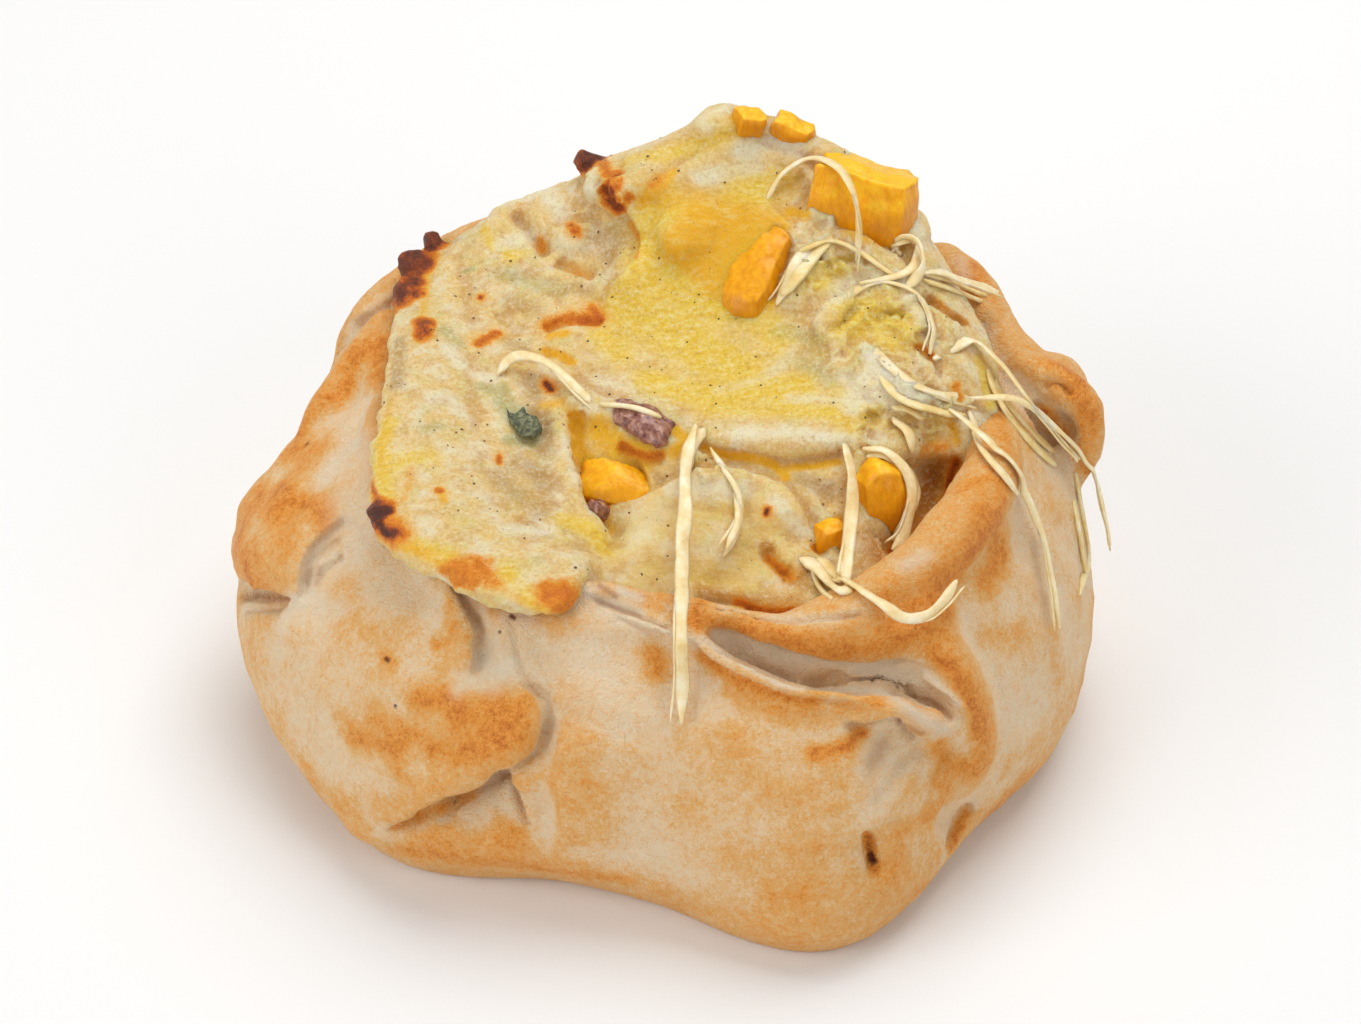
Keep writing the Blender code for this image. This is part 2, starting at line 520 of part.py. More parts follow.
def closed_sheet(name, outer, inner):
    """A closed mesh between two grids[u, v, xyz] of the same size."""
    rows, cols = outer.shape[:2]
    count = rows * cols
    faces = []
    for a in range(rows - 1):
        for b in range(cols - 1):
            i = a * cols + b
            faces.append((i, i + cols, i + cols + 1, i + 1))
            faces.append((count + i, count + i + 1, count + i + cols + 1, count + i + cols))
    border = list(range(cols)) + [a * cols + cols - 1 for a in range(1, rows)]
    border += [(rows - 1) * cols + b for b in range(cols - 2, -1, -1)]
    border += [a * cols for a in range(rows - 2, 0, -1)]
    for i, j in zip(border, border[1:] + border[:1], strict=True):
        faces.append((i, j, count + j, count + i))
    return link(name, np.concatenate([outer.reshape(-1, 3), inner.reshape(-1, 3)]), faces)


def thicken(name, grid, half):
    """A closed sheet round grid[u, v, xyz], half thick each way, rounded off at its edges."""
    u_way, v_way = np.gradient(grid, axis=0), np.gradient(grid, axis=1)
    normal = np.cross(u_way, v_way)
    normal /= np.linalg.norm(normal, axis=2)[:, :, None] + 1e-9
    u_size = np.linalg.norm(u_way, axis=2)
    v_size = np.linalg.norm(v_way, axis=2)
    u_edge = np.minimum(np.cumsum(u_size, axis=0), np.cumsum(u_size[::-1], axis=0)[::-1]) - u_size
    v_edge = np.minimum(np.cumsum(v_size, axis=1), np.cumsum(v_size[:, ::-1], axis=1)[:, ::-1]) - v_size
    inset = np.clip(np.minimum(u_edge, v_edge) / half, 0, 1)
    thick = (half * np.sqrt(1 - (1 - inset) ** 2) + 0.02)[:, :, None]
    return closed_sheet(name, grid + normal * thick, grid - normal * thick)


def flap(name, shape, rows=48, cols=26):
    """The layer of dough that a Flap describes, sunk into the wall all along its underside."""
    root = even_steps(through(shape.root), rows)
    free = even_steps(through(shape.free), rows)
    share = np.linspace(0, 1, cols)
    ends = smooth_step(np.minimum(np.linspace(0, 1, rows), np.linspace(1, 0, rows)) / 0.2)[:, None]
    outer = np.empty((rows, cols, 3))
    inner = np.empty((rows, cols, 3))
    for k, s in enumerate(share):
        points = on_wall(root * (1 - s) + free * s)
        outward = points * (1, 1, 0.25)
        outward /= np.linalg.norm(outward, axis=1)[:, None]
        edge = math.sqrt(max(0.0, 1 - ((s - 0.8) / 0.2) ** 2)) if s > 0.8 else 1.0
        lift = (smooth_step(s / 0.75) * (shape.lift + 0.6) * ends - 0.6) * edge - 0.9 * (1 - edge)
        outer[:, k] = points + outward * lift
        inner[:, k] = points - outward * 1.6
    return closed_sheet(name, outer, inner)


def spin(turn):
    """The matrix that turns by degrees about x, then y, then z."""
    return np.array(Euler(np.radians(turn)).to_matrix())


def lump(name, centre, radii, turn=(0, 0, 0)):
    """A rounded lump: an ellipsoid with half sizes radii, turned by degrees about x, y and z."""
    bm = bmesh.new()
    bmesh.ops.create_icosphere(bm, subdivisions=3, radius=1)
    points = np.array([v.co for v in bm.verts]) * np.asarray(radii)
    faces = [[v.index for v in f.verts] for f in bm.faces]
    bm.free()
    return link(name, points @ spin(turn).T + np.asarray(centre), faces)


def replace_mesh(obj, add):
    """Lets add() put modifiers on the object and keeps what they make as its mesh."""
    add(obj)
    graph = bpy.context.evaluated_depsgraph_get()
    mesh = bpy.data.meshes.new_from_object(obj.evaluated_get(graph))
    obj.modifiers.clear()
    obj.data = mesh
    return obj


def fuse(name, pieces, voxel, smoothing=4):
    """Joins overlapping closed pieces into one skin of evenly sized faces."""
    bm = bmesh.new()
    for piece in pieces:
        bm.from_mesh(piece.data)
        bpy.data.objects.remove(piece)
    mesh = bpy.data.meshes.new(name)
    bm.to_mesh(mesh)
    bm.free()
    obj = bpy.data.objects.new(name, mesh)
    bpy.context.collection.objects.link(obj)
    return reskin(obj, voxel, smoothing)


def reskin(obj, voxel, smoothing):
    """Covers the object with new faces of one size, softened."""

    def add(target):
        remesh = target.modifiers.new("skin", "REMESH")
        remesh.mode = "VOXEL"
        remesh.voxel_size = voxel * MM
        smooth = target.modifiers.new("soften", "SMOOTH")
        smooth.iterations = smoothing
        smooth.factor = 0.5

    return replace_mesh(obj, add)


def points_of(obj):
    """The object's points in millimetres."""
    points = np.empty(len(obj.data.vertices) * 3)
    obj.data.vertices.foreach_get("co", points)
    return points.reshape(-1, 3) / MM


def normals_of(obj):
    normals = np.empty(len(obj.data.vertices) * 3)
    obj.data.vertices.foreach_get("normal", normals)
    return normals.reshape(-1, 3)


def set_points(obj, points):
    obj.data.vertices.foreach_set("co", (points * MM).ravel())
    obj.data.update()


def smooth_step(x):
    x = np.clip(x, 0, 1)
    return x * x * (3 - 2 * x)


def beside(points, line):
    """For each point: distance to the line, place along it from 0 to 1, and the step to it."""
    best = np.full(len(points), np.inf)
    place = np.zeros(len(points))
    foot = np.zeros_like(points)
    along = np.zeros_like(points)
    steps = np.linalg.norm(np.diff(line, axis=0), axis=1)
    total = steps.sum()
    start = 0.0
    for a, b, length in zip(line[:-1], line[1:], steps, strict=True):
        way = (b - a) / length
        t = np.clip((points - a) @ way, 0, length)
        near = a + t[:, None] * way
        distance = np.linalg.norm(points - near, axis=1)
        closer = distance < best
        best[closer] = distance[closer]
        place[closer] = (start + t[closer]) / total
        foot[closer] = near[closer]
        along[closer] = way
        start += length
    return best, place, foot, along


def press(obj, folds):
    """Presses each fold into the skin of the object."""
    points, normals = points_of(obj), normals_of(obj)
    tree = KDTree(len(points))
    for i, point in enumerate(points):
        tree.insert(point, i)
    tree.balance()
    moved = np.zeros(len(points))
    for fold in folds.values():
        line = on_wall(through(fold.line, 5))
        on = [tree.find(p)[1] for p in line]
        line = points[on]
        keep = np.concatenate([[True], np.linalg.norm(np.diff(line, axis=0), axis=1) > 0.3])
        line, on = line[keep], np.array(on)[keep]
        distance, place, foot, along = beside(points, line)
        near = distance < 3 * max(fold.reach, fold.groove)
        outward = normals[on][np.rint(place * (len(on) - 1)).astype(int)]
        left = np.cross(outward, along)
        left /= np.linalg.norm(left, axis=1)[:, None] + 1e-9
        side = np.sign(np.sum((points - foot) * left, axis=1)) * distance
        taper = smooth_step(place / 0.18) * smooth_step((1 - place) / 0.18)
        facing = smooth_step(np.sum(normals * outward, axis=1) * 1.5)
        dying = np.exp(-((np.maximum(side, 0) / fold.reach) ** 2))
        height = fold.rise * smooth_step(side / fold.edge + 0.5) * dying
        height -= fold.dip * np.exp(-(((side + fold.edge * (fold.rise > 0)) / fold.groove) ** 2))
        moved += np.where(near, height * taper * facing, 0)
    for centre, depth, size in DENTS:
        away = np.linalg.norm(points - centre, axis=1)
        moved -= depth * np.exp(-((away / size) ** 2))
    set_points(obj, points + normals * moved[:, None])
    return obj


def dough_extras():
    """Rolls, ears and flaps that stand out of the wall, each sunk into it at its root."""
    pieces = [roll(name, points, radii) for name, (points, radii) in ROLLS.items()]
    pieces += [lump(name, *shape) for name, shape in EARS.items()]
    return pieces + [flap(name, shape) for name, shape in FLAPS.items()]


def keep_largest(obj):
    """Drops every separate scrap but the largest."""
    bm = bmesh.new()
    bm.from_mesh(obj.data)
    left = set(bm.verts)
    groups = []
    while left:
        stack = [left.pop()]
        group = set(stack)
        while stack:
            for edge in stack.pop().link_edges:
                for vert in edge.verts:
                    if vert not in group:
                        group.add(vert)
                        stack.append(vert)
        left -= group
        groups.append(group)
    groups.sort(key=len)
    for group in groups[:-1]:
        bmesh.ops.delete(bm, geom=list(group), context="VERTS")
    bm.to_mesh(obj.data)
    bm.free()
    return obj


def is_closed(obj):
    """True where every edge of the object joins exactly two faces."""
    bm = bmesh.new()
    bm.from_mesh(obj.data)
    closed = all(part.is_manifold for part in (*bm.edges, *bm.verts))
    bm.free()
    return closed


def thin_out(obj, triangles):
    """Keeps the shape with about this many triangles, a few less where that leaves it closed."""
    full = obj.data
    count = sum(len(p.vertices) - 2 for p in full.polygons)
    for fewer in range(0, 600, 30):
        obj.data = full

        def add(target, ratio=(triangles - fewer) / count):
            decimate = target.modifiers.new("fewer", "DECIMATE")
            decimate.ratio = min(1.0, ratio)

        replace_mesh(obj, add)
        if is_closed(obj):
            break
    return obj


def carve(obj, cutter, operation="DIFFERENCE"):
    """Cuts the cutter out of the object, or joins the two into one, and drops the cutter."""

    def add(target):
        boolean = target.modifiers.new("carve", "BOOLEAN")
        boolean.object = cutter
        boolean.operation = operation
        boolean.solver = "MANIFOLD"

    replace_mesh(obj, add)
    bpy.data.objects.remove(cutter)
    return obj


def swollen(obj, by):
    """A copy of the object, grown outwards all round."""
    grown = bpy.data.objects.new(obj.name + " grown", obj.data.copy())
    bpy.context.collection.objects.link(grown)
    set_points(grown, points_of(grown) + normals_of(grown) * by)
    return grown


def stand_flat(obj):
    """Cuts the underside off at z = 0 and closes it with one flat face."""
    bm = bmesh.new()
    bm.from_mesh(obj.data)
    everything = bm.verts[:] + bm.edges[:] + bm.faces[:]
    bmesh.ops.bisect_plane(bm, geom=everything, plane_no=(0, 0, 1), clear_inner=True)
    rim = [e for e in bm.edges if e.is_boundary]
    bmesh.ops.edgeloop_fill(bm, edges=rim)
    bmesh.ops.triangulate(bm, faces=[f for f in bm.faces if len(f.verts) > 3])
    bm.to_mesh(obj.data)
    bm.free()
    return obj


class Heap:
    """The top of the filling: a smooth sheet near all the spots (a thin-plate spline)."""

    def __init__(self, spots, slack=0.6):
        spots = np.asarray(spots, float)
        self.at = spots[:, :2]
        count = len(spots)
        system = np.zeros((count + 3, count + 3))
        system[:count, :count] = self.bend(self.at) + np.eye(count) * slack
        flat = np.column_stack([np.ones(count), self.at])
        system[:count, count:] = flat
        system[count:, :count] = flat.T
        self.weights = np.linalg.solve(system, np.concatenate([spots[:, 2], np.zeros(3)]))

    def bend(self, at):
        away = np.linalg.norm(at[:, None] - self.at[None], axis=2)
        return away**2 * np.log(away + 1e-9)

    def height(self, at):
        at = np.asarray(at, float).reshape(-1, 2)
        flat = np.column_stack([np.ones(len(at)), at])
        return self.bend(at) @ self.weights[:-3] + flat @ self.weights[-3:]


def filling_reach(angles):
    """How far out the filling's top goes in some directions, a little into the rim."""
    rim = wall_fields(angles)[3]
    extra = around([s[0] for s in REACH], [s[1] for s in REACH], angles)
    return rim - 2 * RIM_ROLL + 1.6 + extra


def filling_body(heap, turns=120, top_steps=46, side_steps=44):
    """The heap of filling, from its top down the inside of the pastry to the floor."""
    angles = np.arange(turns) * 360.0 / turns
    foot, belly, _, rim, rim_height = wall_fields(angles)
    reach = filling_reach(angles)
    grid = np.empty((turns, top_steps + side_steps, 3))
    for k, angle in enumerate(np.radians(angles)):
        way = np.array([math.cos(angle), math.sin(angle)])
        radii = np.linspace(0, reach[k], top_steps)
        top = heap.height(radii[:, None] * way)
        inner = rim[k] - 2 * RIM_ROLL
        side = [
            (reach[k], top[-1] - 0.4),
            (max(inner + 1.4, reach[k] - 3), min(rim_height[k] + 1.5, top[-1] - 0.8)),
            (inner + 0.4, rim_height[k] - 4),
            (min(belly[k] - WALL_THICK, inner + 1) + 1.2, rim_height[k] * 0.5),
            (foot[k] - WALL_THICK - 2, FLOOR_THICK + 1),
            (foot[k] * 0.5, FLOOR_THICK - 1),
            (0, FLOOR_THICK - 1),
        ]
        side = even_steps(cut_corners(side, 2), side_steps)
        grid[k, :top_steps, :2] = radii[:, None] * way
        grid[k, :top_steps, 2] = top
        grid[k, top_steps:, :2] = side[:, :1] * way
        grid[k, top_steps:, 2] = side[:, 1]
    return ringed("filling body", grid)


def draped(name, lines, half, rows=90, cols=26):
    """A sheet of melted cheese laid through lines of points, from its inner line outwards."""
    rails = np.stack([even_steps(through(line), rows) for line in lines])
    grid = np.stack([even_steps(through(rails[:, k], 6), cols) for k in range(rows)])
    return thicken(name, grid, half)


def make_crust():
    """The dough: shell, rolls and flaps in one skin, with the folds pressed in."""
    obj = fuse("pastry_case", [basket_shell(), *dough_extras()], CRUST_VOXEL)
    press(obj, FOLDS)
    reskin(obj, CRUST_VOXEL, 2)
    return keep_largest(obj)


def chunk(name, centre, size, turn, round_off=0.35):
    """A soft-cornered block with sides of size, a little uneven, turned by degrees."""
    bm = bmesh.new()
    bmesh.ops.create_cube(bm, size=2)
    bmesh.ops.subdivide_edges(bm, edges=bm.edges[:], cuts=2, use_grid_fill=True)
    bmesh.ops.triangulate(bm, faces=bm.faces[:])
    points = np.array([v.co for v in bm.verts])
    faces = [[v.index for v in f.verts] for f in bm.faces]
    bm.free()
    ball = points / np.linalg.norm(points, axis=1)[:, None]
    points = points * (1 - round_off) + ball * round_off * 1.2
    points += 0.09 * np.sin(points[:, [1, 2, 0]] * 2.6 + np.asarray(centre))
    return link(name, points * np.asarray(size) / 2 @ spin(turn).T + np.asarray(centre), faces)


def skin_tree(obj):
    """A search tree over the object's faces, in millimetres."""
    return BVHTree.FromPolygons(points_of(obj).tolist(), [p.vertices[:] for p in obj.data.polygons])


def keep_clear(points, tree, distance):
    """Moves points that are nearer than distance to a skin, or just inside it, out of it."""
    out = []
    for point in points:
        near, normal, _, away = tree.find_nearest(point)
        offset = Vector(point) - near
        if offset.dot(normal) > 0 and away < distance:
            point = near + offset / away * distance
        elif offset.dot(normal) <= 0 and away < WALL_THICK / 2:
            point = near + normal * distance
        out.append(tuple(point))
    return np.array(out)


def rooted(points, tree):
    """The points with each end that lies near a skin pushed half a millimetre into it."""
    points = np.array(points, float)
    for end in (0, -1):
        near, normal, _, away = tree.find_nearest(points[end])
        if away < 2.5:
            points[end] = near - normal * 0.5
    return points


def shred(name, points, width, thick, others, filling):
    """A strip of grated cheese that follows the points and keeps clear of the other parts."""
    line = through(points, 3)
    reach = GAP + width * 0.5 + 0.1
    for tree in others * 3:
        line = keep_clear(line, tree, reach)
        middle = (line[:-1] + line[1:]) / 2
        push = (keep_clear(middle, tree, reach) - middle) * 0.7
        line[:-1] += push
        line[1:] += push
    line = rooted(line, filling)
    count = len(line)
    size = width / 2 * np.sin(np.linspace(0.5, np.pi - 0.5, count)) ** 0.3
    tangent = np.gradient(line, axis=0)
    tangent /= np.linalg.norm(tangent, axis=1)[:, None]
    side = np.cross(tangent, line * (1, 1, 0) + (0, 0, 40))
    side /= np.linalg.norm(side, axis=1)[:, None]
    over = np.cross(side, tangent)
    turn = -np.arange(6) * np.pi / 3
    grid = np.empty((6, count + 2, 3))
    grid[:, 0] = line[0] - tangent[0] * 0.3
    grid[:, -1] = line[-1] + tangent[-1] * 0.3
    for k in range(count):
        grid[:, k + 1] = line[k] + np.cos(turn)[:, None] * side[k] * size[k]
        grid[:, k + 1] += np.sin(turn)[:, None] * over[k] * thick / 2
    return ringed(name, grid)


def make_filling(crust, chunks):
    """The heap, slab and lumps in one skin, cut clear of the crust and the chunks."""
    heap = Heap(HEAP)
    pieces = [filling_body(heap), draped("slab", SLAB, 1.3)]
    for x, y, length, width, rise, turn in LUMPS:
        z = heap.height((x, y))[0] - width * 0.8 + rise
        pieces.append(lump("lump", (x, y, z), (length, width, width * 0.8), (0, 0, turn)))
    for centre, radii in NUBS:
        pieces.append(lump("nub", centre, radii))
    obj = fuse("filling", pieces, FILLING_VOXEL, 5)
    thin_out(obj, FILLING_TRIANGLES)
    carve(obj, swollen(crust, GAP))
    for name, (centre, size, turn) in CHUNKS.items():
        room = tuple(side + 2.3 * GAP for side in size)
        carve(obj, chunk(name + " room", centre, room, turn))
    keep_largest(obj)
    others = [skin_tree(crust), *[skin_tree(piece) for piece in chunks]]
    filling_skin = skin_tree(obj)
    for name, (width, points) in SHREDS.items():
        carve(obj, shred(name, points, width, 0.7, others, filling_skin), "UNION")
    return keep_largest(obj)


def principled(name, colour, roughness):
    """A plain material: linear colour, no metal."""
    material = bpy.data.materials.new(name)
    material.use_nodes = True
    shader = material.node_tree.nodes["Principled BSDF"]
    shader.inputs["Base Color"].default_value = (*colour, 1)
    shader.inputs["Roughness"].default_value = roughness
    shader.inputs["Metallic"].default_value = 0
    return material


def clear_scene():
    for old in list(bpy.data.objects):
        bpy.data.objects.remove(old)


clear_scene()
pastry_case = make_crust()
thin_out(pastry_case, CRUST_TRIANGLES)
stand_flat(pastry_case)
chunks = [chunk(name, *shape) for name, shape in CHUNKS.items()]
filling = make_filling(pastry_case, chunks)
for part in (pastry_case, filling, *chunks):
    set_points(part, points_of(part) - CENTRE)
    part.data.materials.clear()
    part.data.materials.append(principled(part.name, *LOOKS[part.name]))
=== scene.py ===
# %% [markdown]
# # Dressing a corn empanada
# The part is a baked dough case, pinched up at its corners, with a heap of creamy filling and
# melted cheese in it. The construction model gives every piece its place and size. This script
# makes each piece again at a finer scale, bakes colour into it, and lights it like the photo.
# Lengths are millimetres in the maker's own frame, with the foot of the dough at z = 0.

# %% Loading the frame
import json
import math
from typing import NamedTuple

import bmesh
import bpy
import numpy as np
from mathutils import Euler, Matrix, Vector, noise
from mathutils.bvhtree import BVHTree
from mathutils.kdtree import KDTree

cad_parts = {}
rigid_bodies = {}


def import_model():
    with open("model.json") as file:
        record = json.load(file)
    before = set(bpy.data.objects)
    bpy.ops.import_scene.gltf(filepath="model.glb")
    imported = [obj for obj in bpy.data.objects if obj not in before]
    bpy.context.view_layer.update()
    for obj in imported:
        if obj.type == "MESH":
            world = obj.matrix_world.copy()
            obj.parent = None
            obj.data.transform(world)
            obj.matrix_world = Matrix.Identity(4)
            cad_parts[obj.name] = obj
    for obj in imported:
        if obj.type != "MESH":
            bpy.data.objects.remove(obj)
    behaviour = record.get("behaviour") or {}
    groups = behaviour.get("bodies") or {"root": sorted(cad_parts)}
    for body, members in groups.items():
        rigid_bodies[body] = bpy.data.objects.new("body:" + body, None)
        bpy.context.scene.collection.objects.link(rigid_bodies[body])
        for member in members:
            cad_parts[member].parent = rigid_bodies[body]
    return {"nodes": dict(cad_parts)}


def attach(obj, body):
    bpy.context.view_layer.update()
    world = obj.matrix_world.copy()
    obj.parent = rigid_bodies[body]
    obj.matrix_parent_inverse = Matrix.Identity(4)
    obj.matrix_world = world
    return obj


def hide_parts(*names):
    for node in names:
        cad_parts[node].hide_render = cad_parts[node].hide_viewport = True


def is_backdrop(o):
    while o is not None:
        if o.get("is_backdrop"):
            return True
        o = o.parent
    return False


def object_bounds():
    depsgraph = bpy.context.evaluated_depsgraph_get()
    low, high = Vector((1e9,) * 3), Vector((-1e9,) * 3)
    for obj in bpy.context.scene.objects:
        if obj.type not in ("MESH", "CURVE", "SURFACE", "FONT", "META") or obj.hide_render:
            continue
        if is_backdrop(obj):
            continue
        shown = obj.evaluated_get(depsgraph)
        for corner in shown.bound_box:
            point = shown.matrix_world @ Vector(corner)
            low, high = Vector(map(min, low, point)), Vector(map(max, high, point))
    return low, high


for old in list(bpy.data.objects):
    bpy.data.objects.remove(old)
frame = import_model()
cad_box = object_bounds()
MM = 0.001
CENTRE = (1.0, 1.67, 0.0)  # the middle of the box in the maker's frame, which is the row's origin
print("frame:", ", ".join(sorted(frame["nodes"])))

# %% [markdown]
# The camera comes first, because a mark that the photo shows is placed by its pixel: a ray from
# the camera through that pixel is followed to the dough or the filling, and the mark sits there.
# The photo looks down at 40 degrees from the front, from about 39 cm with a long lens.

# %% The camera
PHOTO_WIDTH, PHOTO_HEIGHT = 1361, 1024
SENSOR, LENS = 36.0, 100.0
ELEVATION, DISTANCE = math.radians(40), 390.0
LOOK_AT = Vector((0, 0, 24))
LOOK_AT_PIXEL = (662, 520)

back = Vector((0, -math.cos(ELEVATION), math.sin(ELEVATION)))
right = Vector((1, 0, 0))
up = back.cross(right)
eye = LOOK_AT + back * DISTANCE
camera = bpy.data.objects.new("camera", bpy.data.cameras.new("camera"))
bpy.context.scene.collection.objects.link(camera)
bpy.context.scene.camera = camera
camera.data.lens = LENS
camera.data.sensor_width = SENSOR
camera.data.clip_start = 0.01
camera.data.shift_x = (PHOTO_WIDTH / 2 - LOOK_AT_PIXEL[0]) / PHOTO_WIDTH
camera.data.shift_y = (LOOK_AT_PIXEL[1] - PHOTO_HEIGHT / 2) / PHOTO_WIDTH
camera.location = (eye - Vector(CENTRE)) * MM
camera.rotation_euler = (math.pi / 2 - ELEVATION, 0, 0)


def ray(pixel):
    """The direction from the eye through a pixel of the photo."""
    across = (pixel[0] - LOOK_AT_PIXEL[0]) / PHOTO_WIDTH * SENSOR
    down = (pixel[1] - LOOK_AT_PIXEL[1]) / PHOTO_WIDTH * SENSOR
    return (right * across - up * down - back * LENS).normalized()


def spot(tree, pixel):
    """The place on a surface that a pixel of the photo shows, and the surface's normal there."""
    place, normal, _, _ = tree.ray_cast(eye, ray(pixel))
    if place is None:
        place, normal, _, _ = tree.find_nearest(eye + ray(pixel) * DISTANCE)
    return np.array(place), np.array(normal)


print("camera at", tuple(round(c) for c in eye), "mm")

# %% [markdown]
# The stage is a sheet of white paper under soft light. A large lamp overhead and a little behind
# gives the cheese its sheen. Two weak lamps and a bright sky fill the shadows, as a light tent does.
# The plain Standard view is chosen, as a filmic one would grey the paper and dull the yellow cheese.

# %% The stage
def lamp(name, place, size, power, colour=(1, 1, 1)):
    """A square soft lamp at a place in metres, aimed at the middle of the object."""
    obj = bpy.data.objects.new(name, bpy.data.lights.new(name, "AREA"))
    bpy.context.scene.collection.objects.link(obj)
    obj.data.size = size
    obj.data.energy = power
    obj.data.color = colour
    obj.location = place
    obj.rotation_euler = (Vector((0, 0, 0.02)) - Vector(place)).to_track_quat("-Z", "Y").to_euler()


bpy.context.scene.view_settings.view_transform = "Standard"
PAPER, PAPER_ROUGHNESS = (0.88, 0.88, 0.88), 0.9
SKY = 0.36
lamp("overhead", (0.10, 0.22, 0.62), 0.5, 2.95, (1.0, 0.99, 0.97))
lamp("left_fill", (-0.55, -0.30, 0.35), 0.5, 2.0)
lamp("front_fill", (0.44, -0.50, 0.40), 0.5, 1.1)
sky = bpy.data.worlds.new("sky")
bpy.context.scene.world = sky
sky.use_nodes = True
sky.node_tree.nodes["Background"].inputs["Color"].default_value = (1, 1, 1, 1)
sky.node_tree.nodes["Background"].inputs["Strength"].default_value = SKY

FLOOR_HALF = 1.5
floor_mesh = bpy.data.meshes.new("paper")
corners = [(FLOOR_HALF * x, FLOOR_HALF * y, 0) for x, y in ((-1, -1), (1, -1), (1, 1), (-1, 1))]
floor_mesh.from_pydata(corners, [], [(0, 1, 2, 3)])
paper = bpy.data.objects.new("paper", floor_mesh)
bpy.context.scene.collection.objects.link(paper)
paper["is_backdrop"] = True
paper_finish = bpy.data.materials.new("paper")
paper_finish.use_nodes = True
paper_shader = paper_finish.node_tree.nodes["Principled BSDF"]
paper_shader.inputs["Base Color"].default_value = (*PAPER, 1)
paper_shader.inputs["Roughness"].default_value = PAPER_ROUGHNESS
paper_shader.inputs["Specular IOR Level"].default_value = 0.1
floor_mesh.materials.append(paper_finish)
print("stage: 3 lamps, sky", SKY)

# %% [markdown]
# Every form starts as a few rails or outlines. These helpers draw smooth lines through points,
# turn rows of points into closed meshes, and read a mesh's points back in millimetres.

# %% Lines and rings
def smooth_step(x):
    x = np.clip(x, 0, 1)
    return x * x * (3 - 2 * x)


TINY = 1e-9


def unit(vectors, least=0.0):
    """The vectors at length 1. A tiny least keeps one of no length from dividing by zero."""
    return vectors / (np.linalg.norm(vectors, axis=-1, keepdims=True) + least)


def around(angles, values, at):
    """Smooth closed curve of values at some angles, read at other angles, all in degrees."""
    knots = np.array([*angles, angles[0] + 360.0])
    data = np.array([*values, values[0]], float)
    wrapped = (np.asarray(at, float) - knots[0]) % 360.0 + knots[0]
    span = np.clip(np.searchsorted(knots, wrapped, side="right") - 1, 0, len(angles) - 1)
    width = np.diff(knots)
    slope = np.diff(data) / width
    before = np.roll(slope, 1)
    tangent = (before * width + slope * np.roll(width, 1)) / (width + np.roll(width, 1))
    tangent = np.append(tangent, tangent[0])
    t = (wrapped - knots[span]) / width[span]
    h = width[span]
    return (
        data[span] * (2 * t**3 - 3 * t**2 + 1)
        + tangent[span] * h * (t**3 - 2 * t**2 + t)
        + data[span + 1] * (3 * t**2 - 2 * t**3)
        + tangent[span + 1] * h * (t**3 - t**2)
    )


def cut_corners(points, times=3):
    """Rounds an open outline by cutting its corners again and again."""
    points = np.asarray(points, float)
    for _ in range(times):
        near = points[:-1] * 0.75 + points[1:] * 0.25
        far = points[:-1] * 0.25 + points[1:] * 0.75
        middle = np.stack([near, far], axis=1).reshape(-1, points.shape[1])
        points = np.concatenate([points[:1], middle, points[-1:]])
    return points


def even_steps(points, count):
    """The same line with count points at even steps along it."""
    lengths = np.concatenate([[0], np.cumsum(np.linalg.norm(np.diff(points, axis=0), axis=1))])
    at = np.linspace(0, lengths[-1], count)
    return np.stack([np.interp(at, lengths, points[:, k]) for k in range(points.shape[1])], axis=1)


def through(points, per_span=8):
    """A smooth line through all the points (a Catmull-Rom spline)."""
    p = np.asarray(points, float)
    p = np.concatenate([2 * p[:1] - p[1:2], p, 2 * p[-1:] - p[-2:-1]])
    t = np.linspace(0, 1, per_span, endpoint=False)[:, None]
    out = []
    for a, b, c, d in zip(p[:-3], p[1:-2], p[2:-1], p[3:], strict=True):
        square = 2 * a - 5 * b + 4 * c - d
        cube = 3 * b - a - 3 * c + d
        out.append(0.5 * (2 * b + (c - a) * t + square * t**2 + cube * t**3))
    return np.concatenate([*out, p[-2:-1]])


# %% Meshes in millimetres
def shown(name, mesh):
    """A new object in the scene, with this mesh."""
    obj = bpy.data.objects.new(name, mesh)
    bpy.context.collection.objects.link(obj)
    return obj


def link(name, points, faces):
    """A new mesh object from points in millimetres."""
    mesh = bpy.data.meshes.new(name)
    mesh.from_pydata(((np.asarray(points) - CENTRE) * MM).tolist(), [], faces)
    mesh.update()
    return shown(name, mesh)


def gathered(name, pieces):
    """One object that holds the faces of several, which it takes the place of."""
    bm = bmesh.new()
    for piece in pieces:
        bm.from_mesh(piece.data)
        bpy.data.objects.remove(piece)
    mesh = bpy.data.meshes.new(name)
    bm.to_mesh(mesh)
    bm.free()
    return shown(name, mesh)


def shade_smooth(obj):
    for polygon in obj.data.polygons:
        polygon.use_smooth = True


def ringed(name, grid):
    """A closed mesh from grid[ring, step, xyz], whose first and last steps each meet at a pole."""
    turns, steps, _ = grid.shape
    inner = steps - 2
    poles = grid[:, [0, -1]].mean(axis=0)
    points = np.concatenate([grid[:, 1:-1].reshape(-1, 3), poles])
    faces = []
    for k in range(turns):
        n = (k + 1) % turns
        for j in range(inner - 1):
            faces.append((k * inner + j, n * inner + j, n * inner + j + 1, k * inner + j + 1))
        faces.append((turns * inner, n * inner, k * inner))
        faces.append((turns * inner + 1, k * inner + inner - 1, n * inner + inner - 1))
    return link(name, points, faces)


